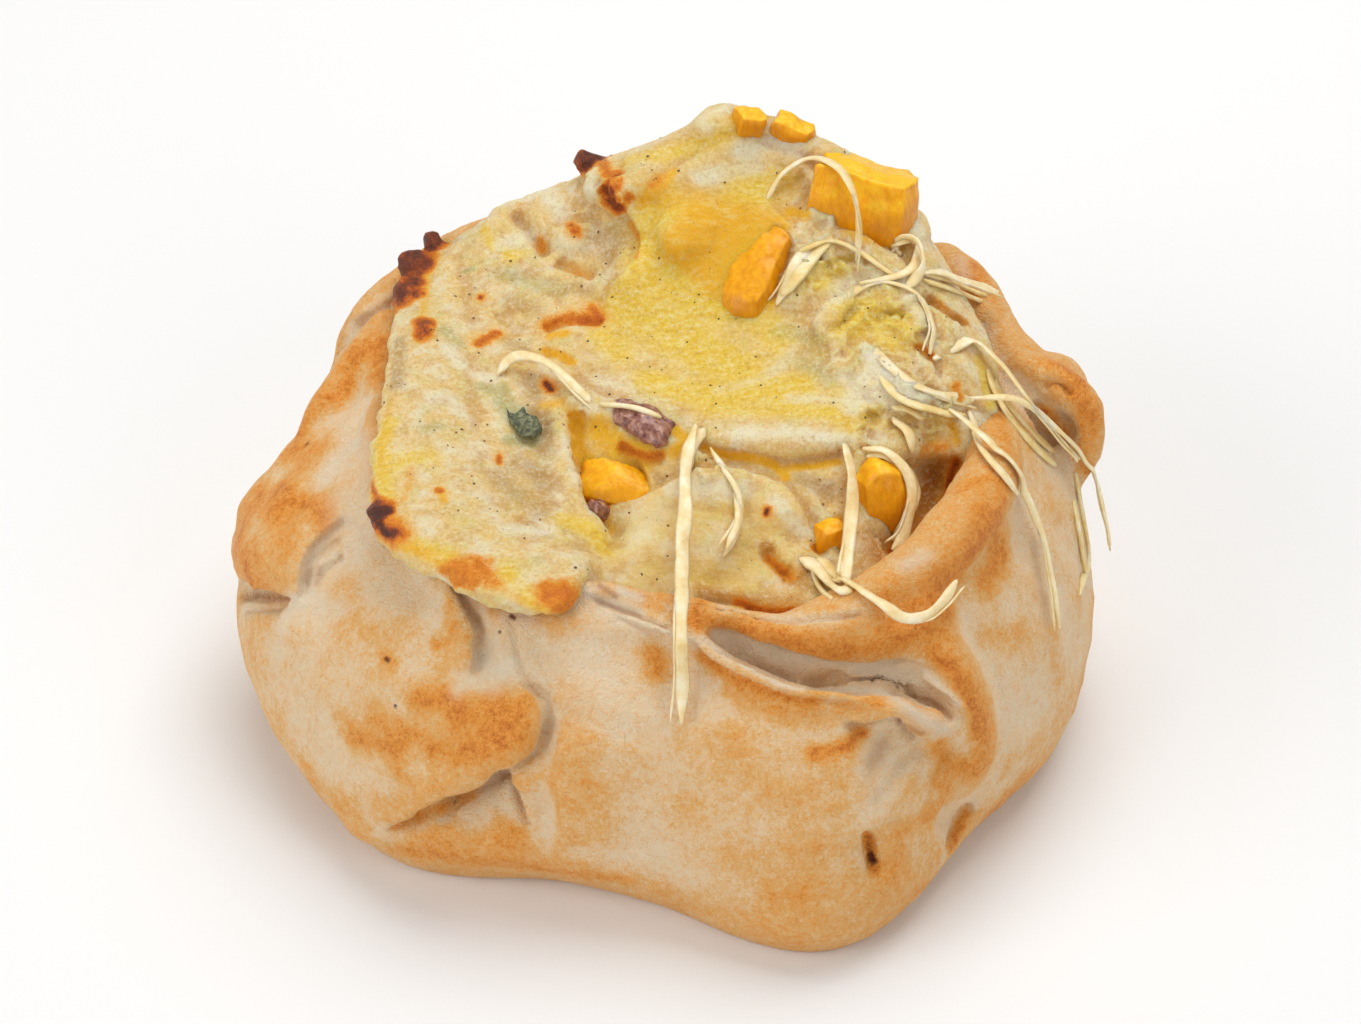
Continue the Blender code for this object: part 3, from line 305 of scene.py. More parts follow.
def closed_sheet(name, outer, inner):
    """A closed mesh between two grids[u, v, xyz] of the same size."""
    rows, cols = outer.shape[:2]
    count = rows * cols
    faces = []
    for a in range(rows - 1):
        for b in range(cols - 1):
            i = a * cols + b
            faces.append((i, i + cols, i + cols + 1, i + 1))
            faces.append((count + i, count + i + 1, count + i + cols + 1, count + i + cols))
    border = list(range(cols)) + [a * cols + cols - 1 for a in range(1, rows)]
    border += [(rows - 1) * cols + b for b in range(cols - 2, -1, -1)]
    border += [a * cols for a in range(rows - 2, 0, -1)]
    for i, j in zip(border, border[1:] + border[:1], strict=True):
        faces.append((i, j, count + j, count + i))
    return link(name, np.concatenate([outer.reshape(-1, 3), inner.reshape(-1, 3)]), faces)


def spin(turn):
    """The matrix that turns by degrees about x, then y, then z."""
    return np.array(Euler(np.radians(turn)).to_matrix())


def lump(name, centre, radii, turn=(0, 0, 0)):
    """A rounded lump: an ellipsoid with half sizes radii, turned by degrees about x, y and z."""
    bm = bmesh.new()
    bmesh.ops.create_icosphere(bm, subdivisions=3, radius=1)
    points = np.array([v.co for v in bm.verts]) * np.asarray(radii)
    faces = [[v.index for v in f.verts] for f in bm.faces]
    bm.free()
    return link(name, points @ spin(turn).T + np.asarray(centre), faces)


def points_of(obj):
    """The object's points in millimetres."""
    points = np.empty(len(obj.data.vertices) * 3)
    obj.data.vertices.foreach_get("co", points)
    return points.reshape(-1, 3) / MM + CENTRE


def normals_of(obj):
    normals = np.empty(len(obj.data.vertices) * 3)
    obj.data.vertices.foreach_get("normal", normals)
    return normals.reshape(-1, 3)


def set_points(obj, points):
    """Moves the object's points to these places in millimetres."""
    obj.data.vertices.foreach_set("co", ((points - CENTRE) * MM).ravel())
    obj.data.update()


# %% Skins
def replace_mesh(obj, add):
    """Lets add() put modifiers on the object and keeps what they make as its mesh."""
    add(obj)
    graph = bpy.context.evaluated_depsgraph_get()
    mesh = bpy.data.meshes.new_from_object(obj.evaluated_get(graph))
    obj.modifiers.clear()
    obj.data = mesh
    return obj


def fuse(name, pieces, voxel, smoothing):
    """Joins overlapping closed pieces into one skin of evenly sized faces."""
    return reskin(gathered(name, pieces), voxel, smoothing)


def reskin(obj, voxel, smoothing):
    """Covers the object with new faces of one size, softened."""

    def add(target):
        remesh = target.modifiers.new("skin", "REMESH")
        remesh.mode = "VOXEL"
        remesh.voxel_size = voxel * MM
        smooth = target.modifiers.new("soften", "SMOOTH")
        smooth.iterations = smoothing
        smooth.factor = 0.5

    return replace_mesh(obj, add)


def keep_largest(obj):
    """Drops every separate scrap but the largest."""
    bm = bmesh.new()
    bm.from_mesh(obj.data)
    left = set(bm.verts)
    groups = []
    while left:
        stack = [left.pop()]
        group = set(stack)
        while stack:
            for edge in stack.pop().link_edges:
                for vert in edge.verts:
                    if vert not in group:
                        group.add(vert)
                        stack.append(vert)
        left -= group
        groups.append(group)
    groups.sort(key=len)
    for group in groups[:-1]:
        bmesh.ops.delete(bm, geom=list(group), context="VERTS")
    bm.to_mesh(obj.data)
    bm.free()


def skin_tree(obj):
    """A search tree over the object's faces, in millimetres."""
    return BVHTree.FromPolygons(points_of(obj).tolist(), [p.vertices[:] for p in obj.data.polygons])


def triangles(obj):
    """How many triangles the object's faces make."""
    return sum(len(p.vertices) - 2 for p in obj.data.polygons)


# %% [markdown]
# The dough is one sheet about 5 mm thick, drawn up round the filling. Its wall is read from
# stations: the radius of its foot, belly and rim in 14 directions, with a smooth curve between.
# Modelling it as a wall, and not as a blob, keeps the rim's inside edge real.

# %% The wall of dough
CRUST_VOXEL = 0.66  # the size of the dough's faces; all of these are millimetres
FLOOR_THICK = 5.0
WALL_THICK = 5.0
RIM_ROLL = 2.6


class Station(NamedTuple):
    """The dough wall in one direction, in millimetres and degrees."""

    angle: float
    foot: float
    belly: float
    belly_height: float
    rim: float
    rim_height: float


# Corners and the panels between them, counterclockwise from the front right corner.
STATIONS = (
    Station(-67, 42.0, 43.5, 8, 29.0, 31),
    Station(-40, 38.0, 41.0, 9, 32.0, 33),
    Station(-12, 41.0, 44.0, 9, 35.5, 34),
    Station(8, 42.0, 45.5, 12, 38.5, 34),
    Station(38, 40.0, 43.0, 14, 39.0, 35),
    Station(70, 39.0, 42.5, 14, 38.0, 38),
    Station(105, 39.0, 42.5, 14, 38.5, 39),
    Station(142, 40.0, 44.5, 16, 38.5, 35),
    Station(160, 39.0, 43.0, 15, 33.0, 34),
    Station(178, 41.0, 44.6, 15, 30.5, 34),
    Station(202, 38.5, 42.3, 11, 28.5, 32),
    Station(224, 37.5, 39.0, 8, 28.0, 31),
    Station(250, 30.5, 35.0, 11, 25.5, 31),
    Station(270, 32.5, 35.0, 11, 24.0, 31),
)


def basket_profile(foot, belly, belly_height, rim, rim_height):
    """Radius and height from the middle of the base, up the outside, over the rim and down inside."""
    inner = rim - 2 * RIM_ROLL
    return np.array(
        [
            (0, -1.2),
            (foot * 0.5, -1.2),
            (foot - 4, -1.2),
            (foot - 0.6, -0.6),
            (belly * 0.5 + foot * 0.5 + 0.8, belly_height * 0.35),
            (belly + 0.8, belly_height),
            (belly * 0.62 + rim * 0.38 + 1.2, belly_height * 0.4 + rim_height * 0.6),
            (rim + 0.6, rim_height - 2.5),
            (rim - 0.3, rim_height + 0.6),
            (inner, rim_height + 0.3),
            (inner - 1, rim_height - 4),
            (min(belly - WALL_THICK, inner + 1), rim_height * 0.5),
            (foot - WALL_THICK - 3, FLOOR_THICK + 1),
            (foot * 0.5, FLOOR_THICK),
            (0, FLOOR_THICK),
        ]
    )


def wall_fields(angles):
    """The station values at some angles in degrees."""
    names = [s.angle for s in STATIONS]
    return [around(names, [getattr(s, f) for s in STATIONS], angles) for f in Station._fields[1:]]


def on_wall(angle_heights):
    """Points on the wall's outside at (angle, height) pairs, up to the top of the rim."""
    pairs = np.asarray(angle_heights, float).reshape(-1, 2)
    points = np.empty((len(pairs), 3))
    fields = wall_fields(pairs[:, 0])
    for k, (angle, height) in enumerate(pairs):
        line = cut_corners(basket_profile(*[f[k] for f in fields]))
        top = int(np.argmax(line[:, 1]))
        low = int(np.argmax(line[:top, 1] > -0.9))
        radius = np.interp(height, line[low : top + 1, 1], line[low : top + 1, 0])
        turn = math.radians(angle)
        points[k] = (radius * math.cos(turn), radius * math.sin(turn), min(height, line[top, 1]))
    return points


def basket_shell(turns=144, steps=90):
    """The plain wall and base, before the folds."""
    angles = np.arange(turns) * 360.0 / turns
    fields = wall_fields(angles)
    grid = np.empty((turns, steps, 3))
    for k, angle in enumerate(np.radians(angles)):
        radius, height = even_steps(cut_corners(basket_profile(*[f[k] for f in fields])), steps).T
        grid[k] = np.stack([radius * math.cos(angle), radius * math.sin(angle), height], axis=1)
    return ringed("shell", grid)


# %% [markdown]
# Where the dough was pinched, it stands out in rolls, ears and laid-over flaps. Each is a closed
# form sunk into the wall at its root, so that one skin can be drawn over them all, as real dough
# welds to itself in the oven.

# %% Rolls and ears
# Rolls of dough: points along each and radii spread evenly from end to end.
ROLLS = {
    "right_roll": (
        (
            (17.5, -21.5, 30.8), (23.5, -18.8, 32.4), (28.6, -14, 33.4), (32.4, -7, 34.2),
            (33.6, -0.5, 34.2), (34, 6, 33.4),
        ),
        (1.8, 2.8, 3.4, 3.3, 2.9, 2.4),
    ),
    "corner_seam": (
        ((24.4, -20.6, 29.4), (27.4, -22.2, 25.4), (29.2, -23.2, 20), (29.4, -24.2, 15), (28.2, -25.2, 10)),
        (2.2, 3.2, 3.9, 4.0, 3.4),
    ),
    "rim_band": (
        (
            (-1, -20.8, 31.6), (4.5, -22.4, 31), (10, -23.4, 29.8), (15, -23.8, 29), (20, -23.4, 28.8),
            (24.6, -21.8, 29.2), (27.6, -20, 29.6),
        ),
        (0.8, 1.5, 1.9, 2.0, 2.0, 2.1, 1.8),
    ),
    "front_lip": (
        (
            (-6, -22, 31), (0.5, -24.6, 30.8), (5.5, -26.8, 30), (10.3, -28.9, 28), (14, -29.9, 26.8),
            (18.4, -29.9, 26.4), (22.8, -29.4, 25), (26.2, -28.6, 22.6), (29.4, -27, 19.4),
        ),
        (0.7, 1.0, 1.1, 1.2, 1.3, 1.3, 1.4, 1.5, 1.0),
    ),
    "rim_layer": (
        ((-10.5, -19, 32), (-6, -20.6, 32.6), (-0.5, -21.4, 32), (5, -21.6, 31.2)), (0.8, 1.0, 0.9, 0.6),
    ),
    "right_ear_edge": (
        (
            (36.6, 11.5, 35.4), (39.6, 8.4, 36.2), (43, 7, 33.6), (43.4, 5.6, 29), (41.2, 4.6, 25),
            (39, 5, 26.5),
        ),
        (1.6, 2.1, 2.3, 2.2, 1.6, 1.0),
    ),
    "back_right_edge": (
        ((26, 29, 35.6), (29.8, 26.4, 36.8), (32.8, 22.8, 35.8), (35.2, 18, 34), (37.2, 13.5, 33.6)),
        (1.6, 2.9, 3.1, 2.8, 3.0),
    ),
    "back_left_fold": (
        (
            (-33, 17.5, 22), (-32.8, 21, 28), (-29.6, 24.2, 32.2), (-24.4, 27.2, 35.2), (-18.6, 30.2, 37),
            (-11, 32.6, 38),
        ),
        (2.0, 2.8, 3.2, 3.2, 3.0, 2.4),
    ),
    "left_fold": (
        ((-37, 3, 22), (-35.4, 10, 26.5), (-32.6, 16, 31), (-28.6, 20.5, 34.6)), (1.6, 2.2, 2.2, 1.8),
    ),
}
# Lumps of dough: centre, half sizes and turn in degrees.
EARS = {
    "right_ear": ((39.6, 10.8, 31.0), (5.0, 4.6, 5.8), (0, 20, 0)),
    "front_left_foot": ((-26.5, -21.6, 7.0), (7.5, 7.0, 6.6), (0, 0, 0)),
    "back_ear": ((12.0, 34.8, 36.6), (8.0, 2.8, 3.8), (0, 8, -16)),
}


def roll(name, points, radii, sides=12, cap=4):
    """A roll of dough through the points, rounded off by cap more rings at each end."""
    line = through(points, 6)
    count = len(line)
    size = np.interp(np.linspace(0, 1, count), np.linspace(0, 1, len(radii)), radii)
    tangent = unit(np.gradient(line, axis=0))
    side = unit(np.cross(tangent, (0.0, 0.0, 1.0)))
    over = np.cross(side, tangent)
    bend = np.linspace(0, np.pi / 2, cap + 1)[:-1]
    rings = [(0, math.sin(b) - 1, math.sin(b)) for b in bend]
    rings += [(k, 0.0, 1.0) for k in range(count)]
    rings += [(count - 1, 1 - math.sin(b), math.sin(b)) for b in bend[::-1]]
    turn = -np.arange(sides) * 2 * np.pi / sides
    grid = np.empty((sides, len(rings), 3))
    for j, (k, along, wide) in enumerate(rings):
        centre = line[k] + tangent[k] * size[k] * along * 0.9
        grid[:, j] = (
            centre
            + np.cos(turn)[:, None] * side[k] * size[k] * wide
            + np.sin(turn)[:, None] * over[k] * size[k] * wide
        )
    return ringed(name, grid)


# %% Flaps
class Flap(NamedTuple):
    """A layer of dough laid over the wall. root and free are lines of (angle, height) points;
    the layer is sunk at the root and stands lift off the wall at its free edge."""

    root: tuple
    free: tuple
    lift: float = 1.5


FLAPS = {
    "front_left_flap": Flap(
        root=((216, 5), (205, 10), (199, 18), (202, 26), (209, 31)),
        free=(
            (226, 7.0), (232.5, 11.2), (238.5, 15.0), (244.6, 18.8), (248.2, 21.0), (249, 23.2),
            (246, 24.9), (241, 25.4), (236.5, 25.4), (233.4, 26.2), (229.6, 28.8), (225.5, 31.0),
        ),
        lift=1.7,
    ),
    "left_corner_flap": Flap(
        root=((156, 17), (159, 24), (166, 29), (176, 33)),
        free=(
            (164, 12.0), (173, 14.2), (181, 16.6), (187, 18.6), (192, 21.2), (196.6, 23.2), (195, 25.6),
            (192.6, 27.6), (191.0, 31.0),
        ),
        lift=1.3,
    ),
    "back_right_pleat": Flap(
        root=((20, 8), (14, 18), (18, 28), (28, 34)),
        free=((50, 8), (47, 16), (44, 24), (45, 34)),
    ),
    "back_pleat": Flap(
        root=((60, 9), (56, 18), (60, 28), (66, 36)),
        free=((84, 9), (88, 17), (84, 27), (86, 37)),
    ),
    "back_left_pleat": Flap(
        root=((132, 34), (139, 27), (142, 18), (138, 9)),
        free=((110, 37), (112, 28), (108, 18), (114, 9)),
    ),
}


def flap(name, shape, rows=48, cols=26):
    """The layer of dough that a Flap describes, sunk into the wall all along its underside."""
    root = even_steps(through(shape.root), rows)
    free = even_steps(through(shape.free), rows)
    share = np.linspace(0, 1, cols)
    ends = smooth_step(np.minimum(np.linspace(0, 1, rows), np.linspace(1, 0, rows)) / 0.2)[:, None]
    outer = np.empty((rows, cols, 3))
    inner = np.empty((rows, cols, 3))
    for k, s in enumerate(share):
        points = on_wall(root * (1 - s) + free * s)
        outward = unit(points * (1, 1, 0.25))
        edge = math.sqrt(max(0.0, 1 - ((s - 0.8) / 0.2) ** 2)) if s > 0.8 else 1.0
        lift = (smooth_step(s / 0.75) * (shape.lift + 0.6) * ends - 0.6) * edge - 0.9 * (1 - edge)
        outer[:, k] = points + outward * lift
        inner[:, k] = points - outward * 1.6
    return closed_sheet(name, outer, inner)


# %% [markdown]
# Folds are pressed in afterwards: each is a line with a step, a groove or a ridge along it.
# Pressing along the skin's own normals keeps the dough's thickness believable. A large fold is
# given by points on the wall. A fine one is given by photo pixels, as the photo is its only source.

# %% Folds
class Fold(NamedTuple):
    """A fold pressed into a skin along a line of pairs: angle and height, or a photo's pixel.

    What lies on the left of the line, seen from outside, stands rise higher and dies away over
    reach. A groove of depth dip and half width groove runs along its foot. A negative dip is a
    ridge. edge is how sharp the step is."""

    line: tuple
    rise: float = 0.0
    dip: float = 0.0
    edge: float = 1.0
    groove: float = 1.2
    reach: float = 8.0


def pairs(numbers):
    """The numbers two by two."""
    return tuple(zip(numbers[::2], numbers[1::2], strict=True))


def fold(*numbers, **shape):
    """A Fold whose line is written as one row of numbers."""
    return Fold(pairs(numbers), **shape)


# Folds of the wall, each by the angle and height of its points in turn.
FOLDS = {
    "hollow under the flap": fold(249, 15.5, 243, 13.8, 236, 10.5, dip=1.8, groove=2.0),
    "crease under the lobe": fold(
        248.5, 25.3, 250.2, 23.2, 249.3, 20.6, 245.6, 18.4, 239, 14.6, 232, 10.4, 227, 7.2,
        dip=1.0, groove=0.8,
    ),
    "crease beside the flap": fold(226.5, 31.2, 230, 29.2, 234.4, 26.8, 235, 25.4, dip=1.1, groove=0.8),
    "second layer": fold(238, 31.5, 242, 28.9, 246, 26.6, 249.5, 24.2, dip=0.8, groove=0.8),
    "front panel beside the flap": fold(
        251, 24, 251.5, 19, 252, 14, 253, 9,
        rise=0.8, dip=0.5, edge=1.6, reach=6,
    ),
    "pocket above the lip": fold(
        279, 31.3, 289, 30.2, 296, 28.6, 304, 27.8, 311, 26.6, 317, 22.8,
        dip=4.2, groove=1.4,
    ),
    "dent below the corner": fold(312, 12, 315, 9, 320, 8, dip=1.6, groove=1.6),
    "scorch dent": fold(298.3, 15.0, 298.6, 12.2, 299.0, 9.8, dip=0.9, groove=1.2),
    "wrinkle under the lip": fold(300.5, 24.4, 302.8, 22.4, 303.5, 19.4, dip=0.8, groove=1.2),
    "second wrinkle": fold(305.0, 24.0, 306.6, 21.4, 306.4, 18.4, dip=0.7, groove=1.1),
    "third wrinkle": fold(309.5, 23.0, 310.6, 20.0, 311.0, 16.0, dip=0.6, groove=1.2),
    "left corner crease": fold(
        176, 14.6, 182, 16.4, 188, 18.2, 193, 20.8, 197.6, 22.6,
        dip=1.2, groove=0.8,
    ),
    "first pleat": fold(198.6, 22.4, 195.8, 25.4, 193.2, 27.4, 192.0, 29.8, dip=0.9, groove=0.7),
    "second pleat": fold(201.4, 22.6, 199, 25.4, 197, 27.6, 196, 30, dip=0.7, groove=0.7),
    "curve below the pleats": fold(197, 21.6, 201, 22.6, 204.5, 25.2, 205.5, 28.4, dip=0.5, groove=1.0),
    "left ridge": fold(176, 19, 171, 23, 165, 27, 158, 31, dip=-1.0, groove=2.4),
    "valley behind it": fold(161, 15, 157, 22, 152, 28, 146, 33, dip=1.8, groove=1.7),
    "crease beside the cheese": fold(186, 25, 180, 29, 172, 32, 160, 34, dip=0.9, groove=1.3),
    "right corner crease": fold(344, 31, 346, 26, 347.5, 20, dip=0.7, groove=1.8),
    "second right crease": fold(353, 28, 356, 21, 355, 14, dip=0.6, groove=2.0),
    "back right crease": fold(50, 34, 48, 25, 49, 16, 53, 9, rise=0.6, dip=0.9, groove=0.9),
    "back crease": fold(86, 37, 84, 27, 87, 18, 84, 10, rise=0.4, dip=0.9, groove=0.9),
    "back left crease": fold(109, 37, 111, 28, 107, 18, 113, 10, dip=0.9, groove=0.9),
    "right side crease": fold(22, 34, 18, 27, 16, 18, 19, 11, dip=0.8, groove=1.4),
}
# Small hollows: centre, depth and half width.
DENTS = (
    ((41.6, 6.2, 31.4), 2.2, 1.5), ((31.0, -28.4, 7.8), 1.2, 1.8), ((-12.6, -32.4, 14.4), 1.0, 1.6),
    ((33.4, 22.4, 35.0), 1.2, 1.6), ((-33.0, 10.6, 31.0), 0.8, 1.4),
)
print("folds:", len(FOLDS), "and dents:", len(DENTS))

# %% Pressing folds
def beside(points, line):
    """For each point: distance to the line, place along it from 0 to 1, and the step to it."""
    best = np.full(len(points), np.inf)
    place = np.zeros(len(points))
    foot = np.zeros_like(points)
    along = np.zeros_like(points)
    steps = np.linalg.norm(np.diff(line, axis=0), axis=1)
    total = steps.sum()
    start = 0.0
    for a, b, length in zip(line[:-1], line[1:], steps, strict=True):
        if length == 0:
            continue
        way = (b - a) / length
        t = np.clip((points - a) @ way, 0, length)
        near = a + t[:, None] * way
        distance = np.linalg.norm(points - near, axis=1)
        closer = distance < best
        best[closer] = distance[closer]
        place[closer] = (start + t[closer]) / total
        foot[closer] = near[closer]
        along[closer] = way
        start += length
    return best, place, foot, along


def close_by(points, line, far):
    """Which points lie in the line's box grown by far, which is quick to tell."""
    return np.flatnonzero(np.all((points > line.min(0) - far) & (points < line.max(0) + far), axis=1))


def press(obj, folds, line_of):
    """Presses folds into the skin of the object. line_of turns a fold's points into places."""
    points, normals = points_of(obj), normals_of(obj)
    skin = KDTree(len(points))
    for i, point in enumerate(points):
        skin.insert(point, i)
    skin.balance()
    moved = np.zeros(len(points))
    for shape in folds:
        on = np.array([skin.find(place)[1] for place in line_of(through(shape.line, 5))])
        on = on[np.concatenate([[True], np.linalg.norm(np.diff(points[on], axis=0), axis=1) > 0.15])]
        line = points[on]
        near = close_by(points, line, 3 * max(shape.reach * (shape.rise != 0), shape.groove))
        distance, place, foot, along = beside(points[near], line)
        outward = normals[on][np.rint(place * (len(on) - 1)).astype(int)]
        left = unit(np.cross(outward, along), TINY)
        side = np.sign(np.sum((points[near] - foot) * left, axis=1)) * distance
        taper = smooth_step(place / 0.15) * smooth_step((1 - place) / 0.15)
        facing = smooth_step(np.sum(normals[near] * outward, axis=1) * 1.5)
        dying = np.exp(-((np.maximum(side, 0) / shape.reach) ** 2))
        height = shape.rise * smooth_step(side / shape.edge + 0.5) * dying
        height -= shape.dip * np.exp(-(((side + shape.edge * (shape.rise > 0)) / shape.groove) ** 2))
        moved[near] += height * taper * facing
    set_points(obj, points + normals * moved[:, None])


def dent(obj, dents):
    """Presses small hollows, each a centre, a depth and a half width."""
    points, moved = points_of(obj), 0
    for centre, depth, size in dents:
        moved = moved + depth * np.exp(-((np.linalg.norm(points - centre, axis=1) / size) ** 2))
    set_points(obj, points - normals_of(obj) * moved[:, None])


def refine(obj, lines, within):
    """Halves the edges near the lines, so that a crisp fold has points to bend at."""
    points = points_of(obj)
    near = np.zeros(len(points), bool)
    for line in lines:
        on = close_by(points, line, within)
        near[on] |= beside(points[on], line)[0] < within
    bm = bmesh.new()
    bm.from_mesh(obj.data)
    edges = [e for e in bm.edges if near[e.verts[0].index] and near[e.verts[1].index]]
    bmesh.ops.subdivide_edges(bm, edges=edges, cuts=1, use_grid_fill=True)
    bm.to_mesh(obj.data)
    bm.free()


def eased(line, rounds):
    """The line with every place drawn towards its neighbours so many times."""
    for _ in range(rounds):
        line[1:-1] = (line[:-2] + 2 * line[1:-1] + line[2:]) / 4
    return line


def photo_line(skin, pixels):
    """The places on a surface that a line of pixels shows, evened out where the line jumps."""
    line = np.array([spot(skin, pixel)[0] for pixel in pixels])
    return eased(line, 2)


# %% [markdown]
# The wall, its rolls and its flaps only overlap so far. A voxel remesh draws one even skin round
# them all. It could be sculpted by hand too, but this way every number above can still be changed.
# Faces that nobody sees are merged, so that the points are spent where the dough shows.

# %% One skin of dough
def dough_extras():
    """Rolls, ears and flaps that stand out of the wall, each sunk into it at its root."""
    pieces = [roll(name, points, radii) for name, (points, radii) in ROLLS.items()]
    pieces += [lump(name, *shape) for name, shape in EARS.items()]
    return pieces + [flap(name, shape) for name, shape in FLAPS.items()]


def thin_hidden(obj, hidden, share):
    """Keeps this share of the faces by merging those where nothing shows."""
    group = obj.vertex_groups.new(name="hidden")
    group.add(np.flatnonzero(hidden).tolist(), 1.0, "REPLACE")

    def add(target):
        fewer = target.modifiers.new("fewer", "DECIMATE")
        fewer.ratio = share
        fewer.vertex_group = "hidden"
        fewer.vertex_group_factor = 10

    replace_mesh(obj, add)
    obj.vertex_groups.clear()


def waves(points, size, seed=0):
    """Smooth noise from about -1 to 1 at each point, with swells of this size in millimetres."""
    shift = Vector((seed * 7.3, seed * 3.1, seed * 5.7))
    return np.array([noise.noise(Vector(p) / size + shift) for p in points.tolist()])


HIDDEN_INSIDE = 9.0  # how far inside the rim the wall is still worth fine faces

pastry = fuse("pastry", [basket_shell(), *dough_extras()], CRUST_VOXEL, 3)
press(pastry, FOLDS.values(), on_wall)
dent(pastry, DENTS)
reskin(pastry, CRUST_VOXEL, 1)
keep_largest(pastry)
dough = points_of(pastry)
reach = np.hypot(dough[:, 0], dough[:, 1])
rim_inside = wall_fields(np.degrees(np.arctan2(dough[:, 1], dough[:, 0])))[3] - HIDDEN_INSIDE
buried = (reach < rim_inside) | (dough[:, 2] < -0.4)
print("pastry:", triangles(pastry), "triangles,", int(buried.sum()), "hidden points")
thin_hidden(pastry, buried, 0.35)
print("pastry after thinning:", triangles(pastry))

# %% [markdown]
# Baked dough isn't smooth: it swells a little between its folds and blisters finely. Noise of
# three sizes moves the points along their normals, so that the relief is in the mesh itself.

# %% Swells and blisters in the dough
dough, outward = points_of(pastry), normals_of(pastry)
swell = 0.32 * waves(dough, 6.5, 1) + 0.16 * waves(dough, 2.6, 2) + 0.05 * waves(dough, 1.1, 3)
blister = 0.22 * np.maximum(waves(dough, 1.9, 4) - 0.28, 0) * (waves(dough, 9, 5) > 0)
above_foot = smooth_step((dough[:, 2] + 0.2) / 2.5)
set_points(pastry, dough + outward * ((swell + blister) * above_foot)[:, None])

# %% [markdown]
# The photo shows where layers of dough end, cross and gape. Each edge is a line of its pixels. The
# mesh is refined along the lines first, as a step of half a millimetre needs smaller faces.

